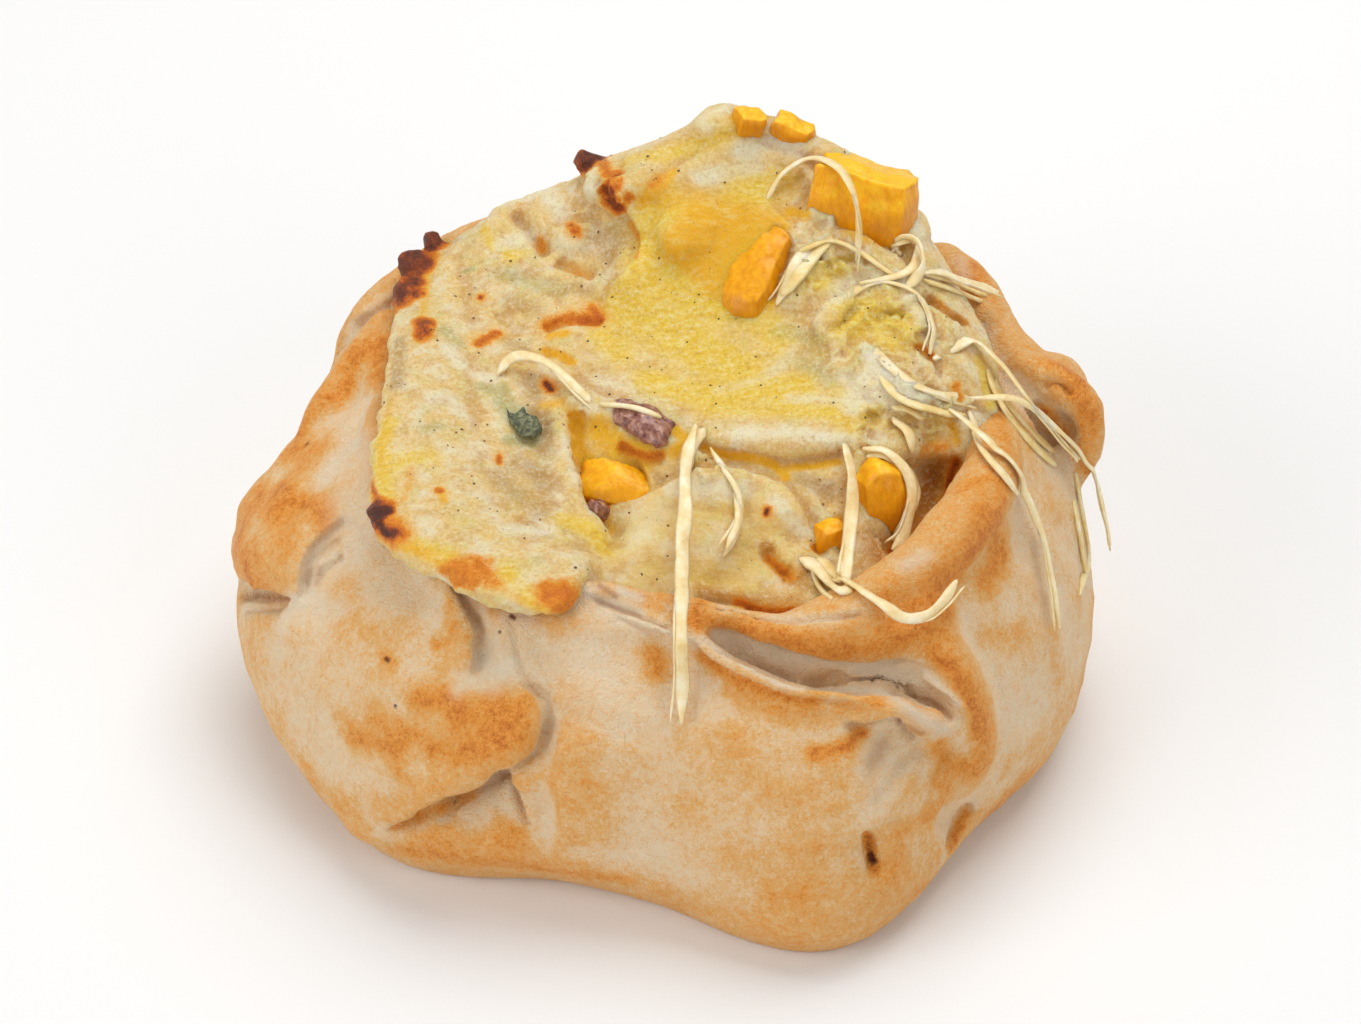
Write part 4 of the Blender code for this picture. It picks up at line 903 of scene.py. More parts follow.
# %% Creases and edges of layers
# Each crease is given by x and y of its pixels in turn.
CREASES = {
    "edge of the flap": fold(
        469, 678, 473, 660, 471, 648, 474, 634, 470, 622, 461, 603, 454, 583, 448, 566,
        rise=0.9, dip=0.6, edge=0.4, groove=0.6, reach=2.5,
    ),
    "under the lobe": fold(
        382, 834, 400, 822, 420, 808, 440, 798, 460, 788, 480, 778, 510, 765,
        rise=1.3, dip=1.5, edge=0.4, groove=1.0, reach=3.0,
    ),
    "floor of the recess": fold(430, 816, 460, 802, 490, 788, 516, 779, dip=1.3, groove=1.3),
    "right of the recess": fold(
        506, 766, 511, 772, 517, 784, 522, 798, 528, 815, 534, 828,
        rise=0.8, dip=0.6, edge=0.4, groove=0.6, reach=2.2,
    ),
    "right of the knuckle": fold(
        503, 770, 520, 757, 531, 747, 539, 733, 542, 718, 540, 704, 533, 693, 516, 684,
        rise=0.9, dip=0.7, edge=0.5, groove=0.7, reach=3.0,
    ),
    "second layer": fold(510, 608, 516, 640, 521, 662, 530, 682, 541, 704, dip=0.5, groove=0.6),
    "left corner": fold(236, 589, 255, 594, 272, 598, 291, 600, dip=1.7, groove=0.7),
    "left corner below": fold(
        243, 606, 262, 605, 280, 603, 293, 600,
        rise=0.5, dip=0.4, edge=0.4, groove=0.5, reach=2.0,
    ),
    "sheet below the corner": fold(
        294, 598, 284, 612, 280, 624, 277, 642,
        rise=0.5, dip=0.3, edge=0.4, groove=0.5, reach=2.0,
    ),
    "first pleat": fold(
        299, 604, 301, 575, 306, 556, 318, 540, 335, 525, 348, 512,
        rise=0.6, dip=0.5, edge=0.4, groove=0.5, reach=1.6,
    ),
    "second pleat": fold(304, 592, 311, 568, 323, 551, 343, 538, dip=0.6, groove=0.45),
    "third pleat": fold(313, 588, 322, 571, 331, 562, 345, 553, dip=0.8, groove=0.5),
    "seam of the left fold": fold(
        352, 328, 366, 315, 382, 305, 404, 290,
        rise=0.4, dip=0.8, edge=0.5, groove=0.6, reach=2.0,
    ),
    "first layer of the lip": fold(592, 564, 610, 574, 625, 580, 640, 585, 660, 590, dip=0.8, groove=0.45),
    "slit": fold(574, 576, 590, 582, 603, 590, 619, 598, dip=1.6, groove=0.6),
    "third layer of the lip": fold(588, 595, 603, 603, 627, 611, 650, 620, 679, 629, dip=0.7, groove=0.4),
    "fourth layer of the lip": fold(612, 616, 630, 624, 648, 632, 672, 640, dip=0.5, groove=0.35),
    "inside edge of the lip": fold(
        956, 726, 946, 711, 935, 704, 920, 699, 900, 690, 880, 686, 860, 684, 840, 684, 820, 687, 800, 686,
        787, 682, 775, 676, 760, 669, 745, 662, 735, 656, 722, 647, 712, 639, 700, 628,
        rise=0.8, dip=1.0, edge=0.4, groove=0.8, reach=1.0,
    ),
    "floor of the pocket": fold(838, 673, 870, 677, 905, 684, 930, 694, dip=-1.3, groove=1.3),
    "outside edge of the lip": fold(
        688, 636, 705, 652, 725, 666, 755, 681, 785, 693, 815, 698, 845, 700, 870, 708,
        rise=0.4, dip=0.5, edge=0.35, groove=0.4, reach=0.9,
    ),
    "below the twist": fold(
        842, 719, 862, 723, 880, 717, 895, 714, 904, 721, 915, 731, 930, 738,
        rise=0.9, dip=0.9, edge=0.4, groove=0.6, reach=1.8,
    ),
    "slit of the twist": fold(898, 688, 915, 697, 930, 703, 945, 712, 954, 726, dip=1.0, groove=0.5),
    "upper pleat": fold(921, 668, 940, 685, 955, 700, 966, 714, dip=-0.8, groove=0.6),
    "below the band": fold(
        698, 628, 720, 629, 740, 635, 780, 647, 820, 659, 860, 663, 900, 660, 928, 665,
        rise=0.5, dip=0.9, edge=0.4, groove=0.8, reach=1.6,
    ),
    "above the band": fold(700, 606, 735, 608, 765, 617, 800, 620, 850, 616, 880, 612, dip=0.7, groove=0.4),
    "right of the corner": fold(973, 802, 958, 821, 951, 840, 945, 858, dip=0.8, groove=0.6),
    "scorch": fold(866, 830, 871, 850, 874, 872, dip=0.9, groove=0.6),
    "first wrinkle": fold(934, 742, 908, 758, 893, 783, 870, 815, dip=0.6, groove=0.9),
    "second wrinkle": fold(893, 724, 884, 745, 866, 772, dip=0.5, groove=0.8),
    "third wrinkle": fold(955, 745, 938, 775, 925, 815, dip=0.4, groove=0.8),
    "curl of the ear": fold(
        1036, 398, 1041, 416, 1049, 428, 1064, 440,
        rise=0.5, dip=1.6, edge=0.4, groove=0.9, reach=1.6,
    ),
    "fold in the ear": fold(1040, 390, 1052, 384, 1064, 386, 1074, 398, dip=0.8, groove=0.6),
}
# Scorched specks, round which the mesh has to be fine too.
SPECKS = ((386, 659), (395, 706), (306, 445), (968, 250), (872, 857), (244, 526), (499, 632), (512, 617))
print("creases:", len(CREASES), "and specks:", len(SPECKS))

# %% Pressing the creases
def crease_lines(skin, folds, specks, length):
    """The places of the folds, and of each speck as a short line of pixels."""
    lines = [photo_line(skin, through(shape.line, 5)) for shape in folds.values()]
    return lines, [photo_line(skin, (pixel, (pixel[0] + length, pixel[1]))) for pixel in specks]


FINE_WITHIN, FINEST_WITHIN = 1.7, 0.9  # millimetres from a line
rough_skin = skin_tree(pastry)
lines, spots = crease_lines(rough_skin, CREASES, SPECKS, 2)
refine(pastry, lines, FINE_WITHIN)
refine(pastry, lines + spots, FINEST_WITHIN)
press(pastry, CREASES.values(), lambda pixels: photo_line(rough_skin, pixels))


def stand_flat(obj):
    """Cuts the underside off at z = 0 and closes it with one flat face."""
    bm = bmesh.new()
    bm.from_mesh(obj.data)
    everything = bm.verts[:] + bm.edges[:] + bm.faces[:]
    bmesh.ops.bisect_plane(bm, geom=everything, plane_no=(0, 0, 1), clear_inner=True)
    rim = [e for e in bm.edges if e.is_boundary]
    bmesh.ops.edgeloop_fill(bm, edges=rim)
    bmesh.ops.triangulate(bm, faces=[f for f in bm.faces if len(f.verts) > 3])
    bm.to_mesh(obj.data)
    bm.free()


stand_flat(pastry)
shade_smooth(pastry)
dough_skin = skin_tree(pastry)
print("pastry:", triangles(pastry), "triangles with", len(CREASES), "creases")

# %% [markdown]
# Colour goes onto the points as named masks, from 0 to 1. The oven browns what stands out, so one
# mask follows from the shape alone and colours every side. On it go brush strokes, each a line of
# photo pixels with a width in millimetres, for the patches that the photo shows.

# %% Brushes
class Stroke(NamedTuple):
    """Paint along pixels of the photo, with its width in millimetres and its strength."""

    pixels: tuple
    width: float
    strength: float


def strokes(*rows):
    """Strokes from rows of numbers: width, strength, and then x and y of each pixel in turn."""
    return [Stroke(pairs(pixels), width, strength) for width, strength, *pixels in rows]


def to_line(points, line):
    """The distance from each point to a line of places, or to the one place."""
    if len(line) == 1:
        return np.linalg.norm(points - line[0], axis=1)
    return beside(points, line)[0]


def brushed(points, skin, strokes):
    """How much paint the strokes leave at each point, from 0 to 1."""
    bare = np.ones(len(points))
    for stroke in strokes:
        line = photo_line(skin, through(stroke.pixels, 5) if len(stroke.pixels) > 1 else stroke.pixels)
        on = close_by(points, line, 2.5 * stroke.width)
        bare[on] *= 1 - stroke.strength * np.exp(-((to_line(points[on], line) / stroke.width) ** 2))
    return 1 - bare


def evened(obj, rounds):
    """The object's points, each moved to the middle of its neighbours so many times."""
    points = points_of(obj)
    ends = np.empty(len(obj.data.edges) * 2, int)
    obj.data.edges.foreach_get("vertices", ends)
    a, b = ends.reshape(-1, 2).T
    count = np.bincount(a, minlength=len(points)) + np.bincount(b, minlength=len(points))
    for _ in range(rounds):
        total = [
            np.bincount(a, points[b, k], len(count)) + np.bincount(b, points[a, k], len(count))
            for k in range(3)
        ]
        points = np.stack(total, axis=1) / count[:, None]
    return points


def raised(obj, rounds):
    """How far each point stands out of its surroundings, in millimetres."""
    return np.sum((points_of(obj) - evened(obj, rounds)) * normals_of(obj), axis=1)


def paint(obj, mask, values):
    """Keeps one number a point in the mesh, for the material to read."""
    layer = obj.data.attributes.new(mask, "FLOAT", "POINT")
    layer.data.foreach_set("value", np.clip(values, 0, 1).astype(np.float32))


# %% Strokes for the dough
# What the oven browned: folds that stand out, and spots.
TOAST = strokes(
    (2.4, 0.75, 285, 440, 300, 452, 318, 450), (2.0, 0.9, 282, 485, 290, 502, 318, 506, 325, 520),
    (1.8, 0.7, 262, 500, 280, 520, 290, 545), (1.4, 0.7, 236, 545, 244, 525, 262, 488),
    (1.4, 0.5, 232, 560, 233, 600), (1.0, 0.5, 254, 545, 258, 558), (0.7, 0.55, 244, 566, 250, 577),
    (1.6, 0.85, 335, 400, 347, 385, 352, 365, 362, 350, 380, 344), (1.7, 0.7, 338, 330, 345, 305, 360, 285),
    (1.6, 0.5, 318, 400, 300, 430, 288, 450), (1.8, 0.8, 355, 735, 372, 742, 398, 752),
    (1.6, 0.45, 340, 718, 350, 735), (1.8, 0.7, 375, 715, 395, 730, 420, 735),
    (1.8, 0.95, 420, 702, 440, 700, 455, 712), (1.7, 0.85, 435, 750, 465, 752, 485, 745, 505, 738),
    (2.0, 0.7, 500, 700, 518, 715, 515, 735), (1.8, 0.6, 460, 715, 500, 722),
    (0.8, 0.6, 397, 772, 406, 782), (0.9, 0.8, 437, 643), (1.2, 0.6, 386, 659, 392, 664),
    (0.9, 0.6, 448, 608, 453, 630), (0.8, 0.45, 440, 670), (2.2, 0.4, 370, 635, 400, 628),
    (2.6, 0.3, 340, 650, 350, 600), (0.9, 0.75, 398, 824, 420, 815, 445, 806, 470, 794),
    (1.6, 0.45, 430, 842, 470, 842), (1.1, 0.6, 395, 850, 470, 860, 540, 868, 620, 880),
    (1.2, 0.4, 500, 833, 520, 832), (1.4, 0.85, 650, 652, 660, 665, 655, 672), (1.2, 0.35, 616, 650),
    (0.8, 0.85, 700, 656, 720, 670, 740, 681, 765, 691, 790, 699, 815, 701),
    (1.7, 0.6, 735, 690, 760, 705, 800, 715, 840, 710, 870, 703),
    (0.9, 1.0, 812, 753, 830, 751, 845, 746, 862, 733), (3.0, 0.35, 715, 764, 690, 740),
    (3.0, 0.28, 640, 770, 600, 800), (2.8, 0.32, 682, 816), (2.8, 0.32, 728, 849, 760, 870),
    (0.7, 0.7, 817, 847), (1.2, 0.85, 866, 832, 871, 852, 876, 872), (1.5, 0.6, 900, 832, 925, 820),
    (2.0, 0.4, 900, 860, 890, 880), (1.6, 0.85, 938, 748, 950, 765, 975, 768),
    (1.7, 0.7, 935, 782, 950, 795, 930, 812), (1.3, 0.6, 982, 735, 984, 760),
    (0.8, 0.9, 965, 815, 957, 835, 951, 850), (2.4, 0.35, 884, 924, 923, 885), (2.6, 0.35, 799, 894),
    (1.3, 0.75, 696, 618, 700, 604),
    (1.4, 0.85, 700, 622, 740, 628, 793, 640, 838, 652, 880, 648, 916, 636),
    (1.0, 0.45, 640, 604, 665, 610, 680, 622), (1.5, 0.6, 850, 630, 880, 625, 915, 622),
    (1.5, 0.95, 938, 658, 960, 680, 972, 703, 980, 722),
    (1.8, 0.75, 884, 600, 919, 598, 950, 572, 981, 540, 1000, 515),
    (1.2, 0.6, 960, 488, 985, 480, 1005, 490), (2.2, 0.9, 985, 520, 1000, 550, 985, 580),
    (2.2, 0.7, 970, 560, 940, 600), (1.6, 0.5, 985, 635, 1020, 635), (1.8, 0.5, 950, 620, 930, 640),
    (1.5, 0.85, 1055, 362, 1072, 372, 1088, 400, 1092, 425), (0.8, 0.7, 1048, 384, 1062, 388, 1072, 396),
    (1.0, 1.0, 1046, 412, 1052, 425, 1064, 434), (1.0, 0.5, 1088, 445, 1084, 470), (2.6, 0.35, 1057, 509),
    (1.6, 0.4, 1053, 630, 1057, 680), (1.0, 0.4, 1004, 775, 1010, 760),
    (1.5, 0.9, 940, 235, 962, 242, 975, 262, 978, 285), (1.0, 0.7, 945, 312, 965, 322),
    (0.9, 0.5, 990, 360, 993, 400, 1010, 450),
)
# Small scorched places, nearly black.
BURNT = strokes(
    (0.35, 0.6, 866, 836, 869, 848), (0.62, 1.0, 871, 855, 873, 860), (0.4, 0.85, 386, 659, 388, 660),
    (0.25, 1.0, 395, 706, 396, 706), (0.35, 0.7, 306, 445, 308, 443), (0.4, 0.5, 244, 522, 242, 530),
    (0.25, 0.8, 499, 632, 500, 632), (0.35, 0.9, 511, 616, 514, 618), (0.5, 0.7, 968, 250, 969, 251),
    (0.6, 0.6, 1046, 418, 1052, 426), (0.5, 0.5, 1060, 385, 1070, 394), (0.8, 0.3, 347, 372, 352, 362),
    (1.6, 0.3, 995, 535, 1005, 550), (0.9, 0.25, 950, 655, 962, 672),
)
# Pale edges with flour on them.
FLOUR = strokes(
    (1.0, 0.85, 715, 634, 750, 646, 790, 655, 830, 662, 880, 668, 915, 680),
    (0.7, 0.9, 574, 553, 590, 554, 604, 560, 640, 575, 676, 582),
    (0.5, 0.95, 578, 564, 600, 574, 620, 590, 640, 598),
    (0.45, 0.9, 582, 588, 592, 597, 606, 602, 640, 612), (0.6, 0.6, 600, 612, 640, 624, 675, 636, 700, 642),
    (0.4, 1.0, 703, 638, 725, 656, 755, 672, 785, 686, 815, 690, 850, 689, 885, 693),
    (0.9, 0.95, 885, 693, 905, 705, 925, 720, 945, 730), (0.5, 0.8, 925, 672, 942, 688, 957, 704),
    (1.2, 0.85, 480, 660, 500, 672, 510, 665), (0.8, 0.6, 457, 690, 470, 684, 495, 688),
    (0.9, 0.8, 303, 602, 304, 575, 310, 556, 322, 542, 345, 522), (0.7, 0.6, 310, 600, 318, 575, 335, 556),
    (0.8, 0.7, 297, 600, 288, 612, 282, 630), (1.2, 0.45, 320, 605, 340, 612),
    (1.2, 0.6, 325, 480, 340, 455, 365, 440, 365, 480), (1.8, 0.35, 340, 500, 360, 540, 345, 570),
    (2.6, 0.4, 600, 660, 580, 700), (0.8, 0.7, 905, 565, 925, 555),
    (1.2, 0.5, 1020, 400, 1010, 380, 1040, 440), (0.8, 0.6, 960, 260, 965, 275),
)
# Painted shade in the creases and recesses that less light gets into.
SHADE_STROKES = strokes(
    (0.8, 0.5, 745, 662, 780, 672, 820, 680), (0.8, 0.25, 860, 678, 900, 682, 925, 694),
    (0.4, 1.0, 915, 696, 935, 703, 950, 716), (0.4, 0.9, 900, 720, 910, 728, 922, 734),
    (0.8, 0.75, 450, 800, 480, 788, 506, 776), (0.5, 0.6, 508, 772, 516, 790, 524, 808),
    (0.7, 0.75, 456, 590, 468, 608, 478, 620), (0.9, 0.5, 470, 598, 500, 610, 540, 620),
    (0.5, 1.0, 258, 597, 275, 598, 290, 599), (0.35, 0.9, 592, 580, 603, 588, 615, 596),
    (0.25, 1.0, 640, 586, 656, 590), (0.25, 0.6, 600, 568, 620, 578, 640, 585),
    (0.25, 0.6, 592, 598, 620, 609, 640, 616), (0.4, 0.5, 320, 568, 316, 585),
    (0.5, 0.6, 360, 320, 380, 308, 400, 295), (0.7, 0.4, 392, 340, 385, 380, 376, 420),
    (1.0, 0.3, 880, 745, 868, 775),
)
print("strokes on the dough:", sum(len(table) for table in (TOAST, BURNT, FLOUR, SHADE_STROKES)))

# %% Toasted places
SURROUNDINGS = 70  # rounds of evening out that leave the dough without its folds
stand_out = raised(pastry, SURROUNDINGS)
dough = points_of(pastry)
browned = smooth_step((stand_out + 0.12 * waves(dough, 4, 6) - 0.08) / 0.75) * 0.5
browned += 0.22 * smooth_step(waves(dough, 8, 7) * 1.6 - 0.1)
toast = 1 - (1 - brushed(dough, dough_skin, TOAST)) * (1 - np.clip(browned, 0, 1))
foot_edge = np.exp(-((dough[:, 2] - 1.0) / 1.6) ** 2) * smooth_step(0.6 + waves(dough, 12, 8))
paint(pastry, "toast", np.maximum(toast, 0.42 * foot_edge))
for mask, table in (("burnt", BURNT), ("flour", FLOUR), ("dusk", SHADE_STROKES)):
    paint(pastry, mask, brushed(dough, dough_skin, table))
print("toast covers", round(float((toast > 0.5).mean()) * 100), "% of the dough's points")

# %% [markdown]
# A material is written as sums on sockets. The class below wraps a socket, so that `1 - mask`
# adds a Math node. Everything that isn't plain arithmetic goes through `Finish.node`.

# %% Sockets that can be added and multiplied
class Value:
    """A socket in a material. Arithmetic on it adds Math nodes."""

    def __init__(self, finish, socket):
        self.finish = finish
        self.socket = socket

    def math(self, operation, first, second):
        return self.finish.node("ShaderNodeMath", {"operation": operation}, {0: first, 1: second})

    def __add__(self, other):
        return self.math("ADD", self, other)

    def __sub__(self, other):
        return self.math("SUBTRACT", self, other)

    def __rsub__(self, other):
        return self.math("SUBTRACT", other, self)

    def __mul__(self, other):
        return self.math("MULTIPLY", self, other)

    __radd__ = __add__
    __rmul__ = __mul__


def colour(red, green, blue):
    """A colour as a painter reads it, 0 to 255, in the linear light that the shader works in."""
    share = np.array([red, green, blue]) / 255
    linear = np.where(share <= 0.04045, share / 12.92, ((share + 0.055) / 1.055) ** 2.4)
    return (*linear.tolist(), 1.0)


class Finish:
    """A material, its nodes and the Principled shader at its end."""

    def __init__(self, name, **constants):
        self.material = bpy.data.materials.new(name)
        self.material.use_nodes = True
        self.tree = self.material.node_tree
        self.shader = self.tree.nodes["Principled BSDF"]
        for socket, value in constants.items():
            self.shader.inputs[socket.replace("_", " ")].default_value = value
        coordinates = self.tree.nodes.new("ShaderNodeTexCoord").outputs["Object"]
        self.place = self.node("ShaderNodeVectorMath", {"operation": "SCALE"},
                               {0: Value(self, coordinates), "Scale": 1000})

    def feed(self, socket, value):
        if isinstance(value, Value):
            self.tree.links.new(value.socket, socket)
        else:
            socket.default_value = value

    def node(self, kind, settings, inputs, output=0):
        """Adds a node: its settings first, then a value or a link for each named socket."""
        made = self.tree.nodes.new(kind)
        for setting, value in settings.items():
            if setting == "stops":
                elements = made.color_ramp.elements
                for place, _ in value[2:]:
                    elements.new(place)
                for element, stop in zip(elements, sorted(value), strict=True):
                    element.position, element.color = stop
            else:
                setattr(made, setting, value)
        for socket, value in inputs.items():
            self.feed(made.inputs[socket], value)
        return Value(self, made.outputs[output])

    def mask(self, name):
        """A number that was painted on the mesh."""
        return self.node("ShaderNodeAttribute", {"attribute_name": name}, {}, output=2)

    def cloud(self, size, detail, roughness, place=None, output=0):
        """Noise from 0 to 1 with clouds of this size in millimetres."""
        inputs = {"Vector": place or self.place, "Scale": 1 / size}
        inputs |= {"Detail": detail, "Roughness": roughness}
        return self.node("ShaderNodeTexNoise", {}, inputs, output)

    def clouds(self, size, detail, roughness):
        """Three clouds of one size that don't follow each other."""
        tint = self.cloud(size, detail, roughness, output=1)
        return [self.node("ShaderNodeSeparateColor", {}, {0: tint}, output=k) for k in range(3)]

    def stretched(self, *scale):
        """Places in millimetres, scaled along x, y and z, for clouds that are longer one way."""
        return self.node("ShaderNodeVectorMath", {"operation": "MULTIPLY"}, {0: self.place, 1: scale})

    def between(self, value, low, high):
        """0 below low, 1 above high, and smooth in between."""
        settings = {"interpolation_type": "SMOOTHSTEP"}
        return self.node("ShaderNodeMapRange", settings, {0: value, 1: low, 2: high})

    def mix(self, share, first, second):
        """A blend of two colours."""
        inputs = {0: share, 6: first, 7: second}
        return self.node("ShaderNodeMix", {"data_type": "RGBA"}, inputs, output=2)

    def ramp(self, value, *stops):
        """Colours along a value. Each stop is its place and its red, green and blue."""
        rows = [(place, colour(*tint)) for place, *tint in stops]
        return self.node("ShaderNodeValToRGB", {"stops": rows}, {0: value})

    def wear(self, obj, base, roughness, height, depth):
        """Feeds the shader and puts the finish on an object. depth is the bump's in millimetres."""
        bump = self.node("ShaderNodeBump", {}, {"Distance": depth * MM, "Height": height})
        for socket, value in (("Base Color", base), ("Roughness", roughness), ("Normal", bump)):
            self.feed(self.shader.inputs[socket], value)
        obj.data.materials.clear()
        obj.data.materials.append(self.material)


# %% [markdown]
# Baked dough is pale and matt, with a warm glow where light goes in and comes out again, which is
# what the subsurface weight stands for. Toast runs from cream through honey to brown in one ramp,
# and clouds of two sizes break it up, so that no patch has a plain edge.

# %% The dough's finish
def dough_finish(obj):
    baked = Finish("baked_dough", Subsurface_Weight=0.15, Subsurface_Radius=(1.0, 0.5, 0.25),
                   Subsurface_Scale=0.002, Specular_IOR_Level=0.35)
    patches, mottle = baked.cloud(3.4, 5, 0.6), baked.cloud(1.0, 4, 0.65)
    speckle, grain = baked.cloud(0.4, 3, 0.7), baked.cloud(0.2, 2, 0.7)
    heat = baked.mask("toast") * 0.76 + (patches - 0.5) * 0.34 + (mottle - 0.5) * 0.7
    heat = heat + (speckle - 0.5) * 0.65 + (grain - 0.5) * 0.3
    base = baked.ramp(
        heat + 0.1, (0.0, 252, 226, 190), (0.22, 252, 214, 166), (0.45, 248, 192, 118),
        (0.72, 247, 162, 60), (1.0, 214, 114, 34),
    )
    base = baked.mix(baked.mask("flour") * (0.6 + mottle * 0.4), base, colour(246, 232, 208))
    # Painted shade: creases and recesses are darkened towards brown.
    base = baked.mix(baked.mask("dusk") * 0.75, base, colour(184, 122, 74))
    scorched = baked.between(baked.mask("burnt") + (speckle - 0.5) * 0.5, 0.2, 0.95)
    base = baked.mix(scorched, base, colour(104, 40, 10))
    roughness = 0.6 - baked.mask("toast") * 0.16 + (mottle - 0.5) * 0.2
    baked.wear(obj, base, roughness, grain * 0.6 + speckle + mottle, 0.34)


dough_finish(pastry)
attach(pastry, "root")
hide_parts("pastry_case")

# %% [markdown]
# Cooked squash keeps its cut faces: a block with soft corners, a little out of true, with fibres
# on it. Each block is the construction model's, cut finer. They come before the cheese, because
# the films of cheese that hug them are laid on them.

# %% Blocks of squash and onion
# Pieces that lie in the filling: centre, size and turn in degrees, as in the construction model.
CHUNKS = {
    "squash_top": ((20.6, 23.4, 47.4), (10.4, 7.0, 8.6), (-18, 6, -10)),
    "squash_slope": ((10.0, 16.8, 43.8), (5.4, 9.8, 4.4), (28, 0, -32)),
    "squash_right": ((21.9, -7.0, 32.8), (4.6, 4.2, 7.4), (-12, -8, 18)),
    "squash_front": ((-4.6, -4.2, 33.2), (8.6, 5.2, 5.2), (24, 4, -18)),
    "squash_low": ((16.5, -11.7, 31.6), (3.0, 3.2, 4.8), (-10, 14, 20)),
    "squash_ridge_left": ((8.9, 28.4, 54.4), (3.0, 2.8, 2.6), (0, 12, 20)),
    "squash_ridge_right": ((13.6, 28.6, 53.4), (4.2, 2.6, 2.2), (0, 16, -12)),
    "onion_piece": ((-2.0, -0.4, 37.9), (6.4, 3.2, 2.0), (0, 8, -36)),
    "onion_bit": ((-6.3, -9.3, 33.4), (2.2, 1.7, 1.5), (0, 30, 40)),
    "herb_leaf": ((-14.3, 0.5, 37.3), (2.2, 4.4, 0.9), (0, 10, 25)),
}
# For each block: how much of it is rounded off, how many millimetres it has sunk, and how much
# its top is brightened by painted light.
SETTLED = {
    "squash_top": (0.3, 0.3, 0.7),
    "squash_slope": (0.6, 0.5, 0.3),
    "squash_right": (0.6, 0.2, 0.6),
    "squash_front": (0.7, 1.9, 0.45),
    "squash_low": (0.6, 0.9, 0.4),
    "squash_ridge_left": (0.45, 0.4, 0.6),
    "squash_ridge_right": (0.45, 0.4, 0.6),
    "onion_piece": (0.6, 0.7, 0.0),
    "onion_bit": (0.4, 0.2, 0.0),
    "herb_leaf": (0.5, 0.5, 0.0),
}
BLOCK_CUTS = 22


def block(name, centre, size, turn, fibre):
    """A soft-cornered block with sides of size, a little uneven, turned by degrees."""
    round_off, sunk, top_painted_light = SETTLED[name]
    bm = bmesh.new()
    bmesh.ops.create_cube(bm, size=2)
    bmesh.ops.subdivide_edges(bm, edges=bm.edges, cuts=BLOCK_CUTS, use_grid_fill=True)
    points = np.array([v.co for v in bm.verts])
    faces = [[v.index for v in f.verts] for f in bm.faces]
    bm.free()
    # Part cube and part ball, with sides that aren't quite flat.
    points = points * (1 - round_off) + unit(points) * round_off * 1.2
    points += 0.1 * np.sin(points[:, [1, 2, 0]] * 2.6 + np.asarray(centre))
    middle = np.asarray(centre) - (0, 0, sunk)
    obj = link(name + "_fine", points * np.asarray(size) / 2 @ spin(turn).T + middle, faces)
    places, outward = points_of(obj), normals_of(obj)
    uneven = fibre * (waves(places * (1, 1, 0.3), 0.8, 21) + 2.2 * waves(places, 2.5, 22))
    set_points(obj, places + outward * uneven[:, None])
    # Painted light: a block's top is made lighter the more it faces up.
    paint(obj, "light", normals_of(obj)[:, 2] * top_painted_light)
    shade_smooth(obj)
    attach(obj, "root")
    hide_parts(name)
    return obj


# %% Finishes of the blocks
def squash_finish():
    cooked = Finish("cooked_squash", Subsurface_Weight=0.2, Subsurface_Radius=(1.0, 0.4, 0.1),
                    Subsurface_Scale=0.0015, Specular_IOR_Level=0.4)
    fibres = cooked.cloud(0.5, 4, 0.6, cooked.stretched(1, 1, 0.25))
    patches = cooked.cloud(1.8, 4, 0.6)
    # The "light" mask adds painted light on the tops of the blocks.
    base = cooked.ramp(
        (fibres - 0.5) * 0.9 + (patches - 0.5) * 0.7 + cooked.mask("light") + 0.22,
        (0.0, 210, 132, 0), (0.3, 228, 150, 0), (0.6, 246, 172, 2), (0.9, 250, 200, 20),
    )
    return cooked, base, 0.32 + (patches - 0.5) * 0.2, fibres


def onion_finish():
    fried = Finish("browned_onion", Specular_IOR_Level=0.6, Subsurface_Weight=0.1,
                   Subsurface_Radius=(1.0, 0.4, 0.3), Subsurface_Scale=0.001)
    streaks = fried.cloud(0.7, 4, 0.6)
    base = fried.ramp(streaks, (0.3, 92, 48, 44), (0.5, 150, 98, 84), (0.7, 204, 160, 138))
    return fried, base, 0.22 + streaks * 0.15, streaks


def herb_finish():
    wilted = Finish("wilted_herb", Specular_IOR_Level=0.4)
    veins = wilted.cloud(0.5, 4, 0.7)
    base = wilted.ramp(veins, (0.3, 50, 56, 42), (0.5, 98, 102, 76), (0.7, 160, 160, 120))
    return wilted, base, 0.6 + veins * 0.2, veins


looks = {"squash": (squash_finish(), 0.12), "onion": (onion_finish(), 0.25), "herb": (herb_finish(), 0.3)}
blocks = []
for name, (centre, size, turn) in CHUNKS.items():
    (finish, base, roughness, height), rough = looks[name.split("_")[0]]
    blocks.append(block(name, centre, size, turn, rough))
    finish.wear(blocks[-1], base, roughness, height, 0.12)
print("blocks:", ", ".join(CHUNKS))

# %% [markdown]
# The filling is heaped up by hand, so its top is a sheet bent near a few dozen spots, like a thin
# plate pressed on pins. A sculpted blob would do too, but here each spot is a measure that the
# construction model shares. The sheet is carried down inside the dough, to close the form.

# %% The heap of filling
FILLING_VOXEL = 0.45
FILLING_SEEN_FROM = 25.0  # height above which the filling can be seen

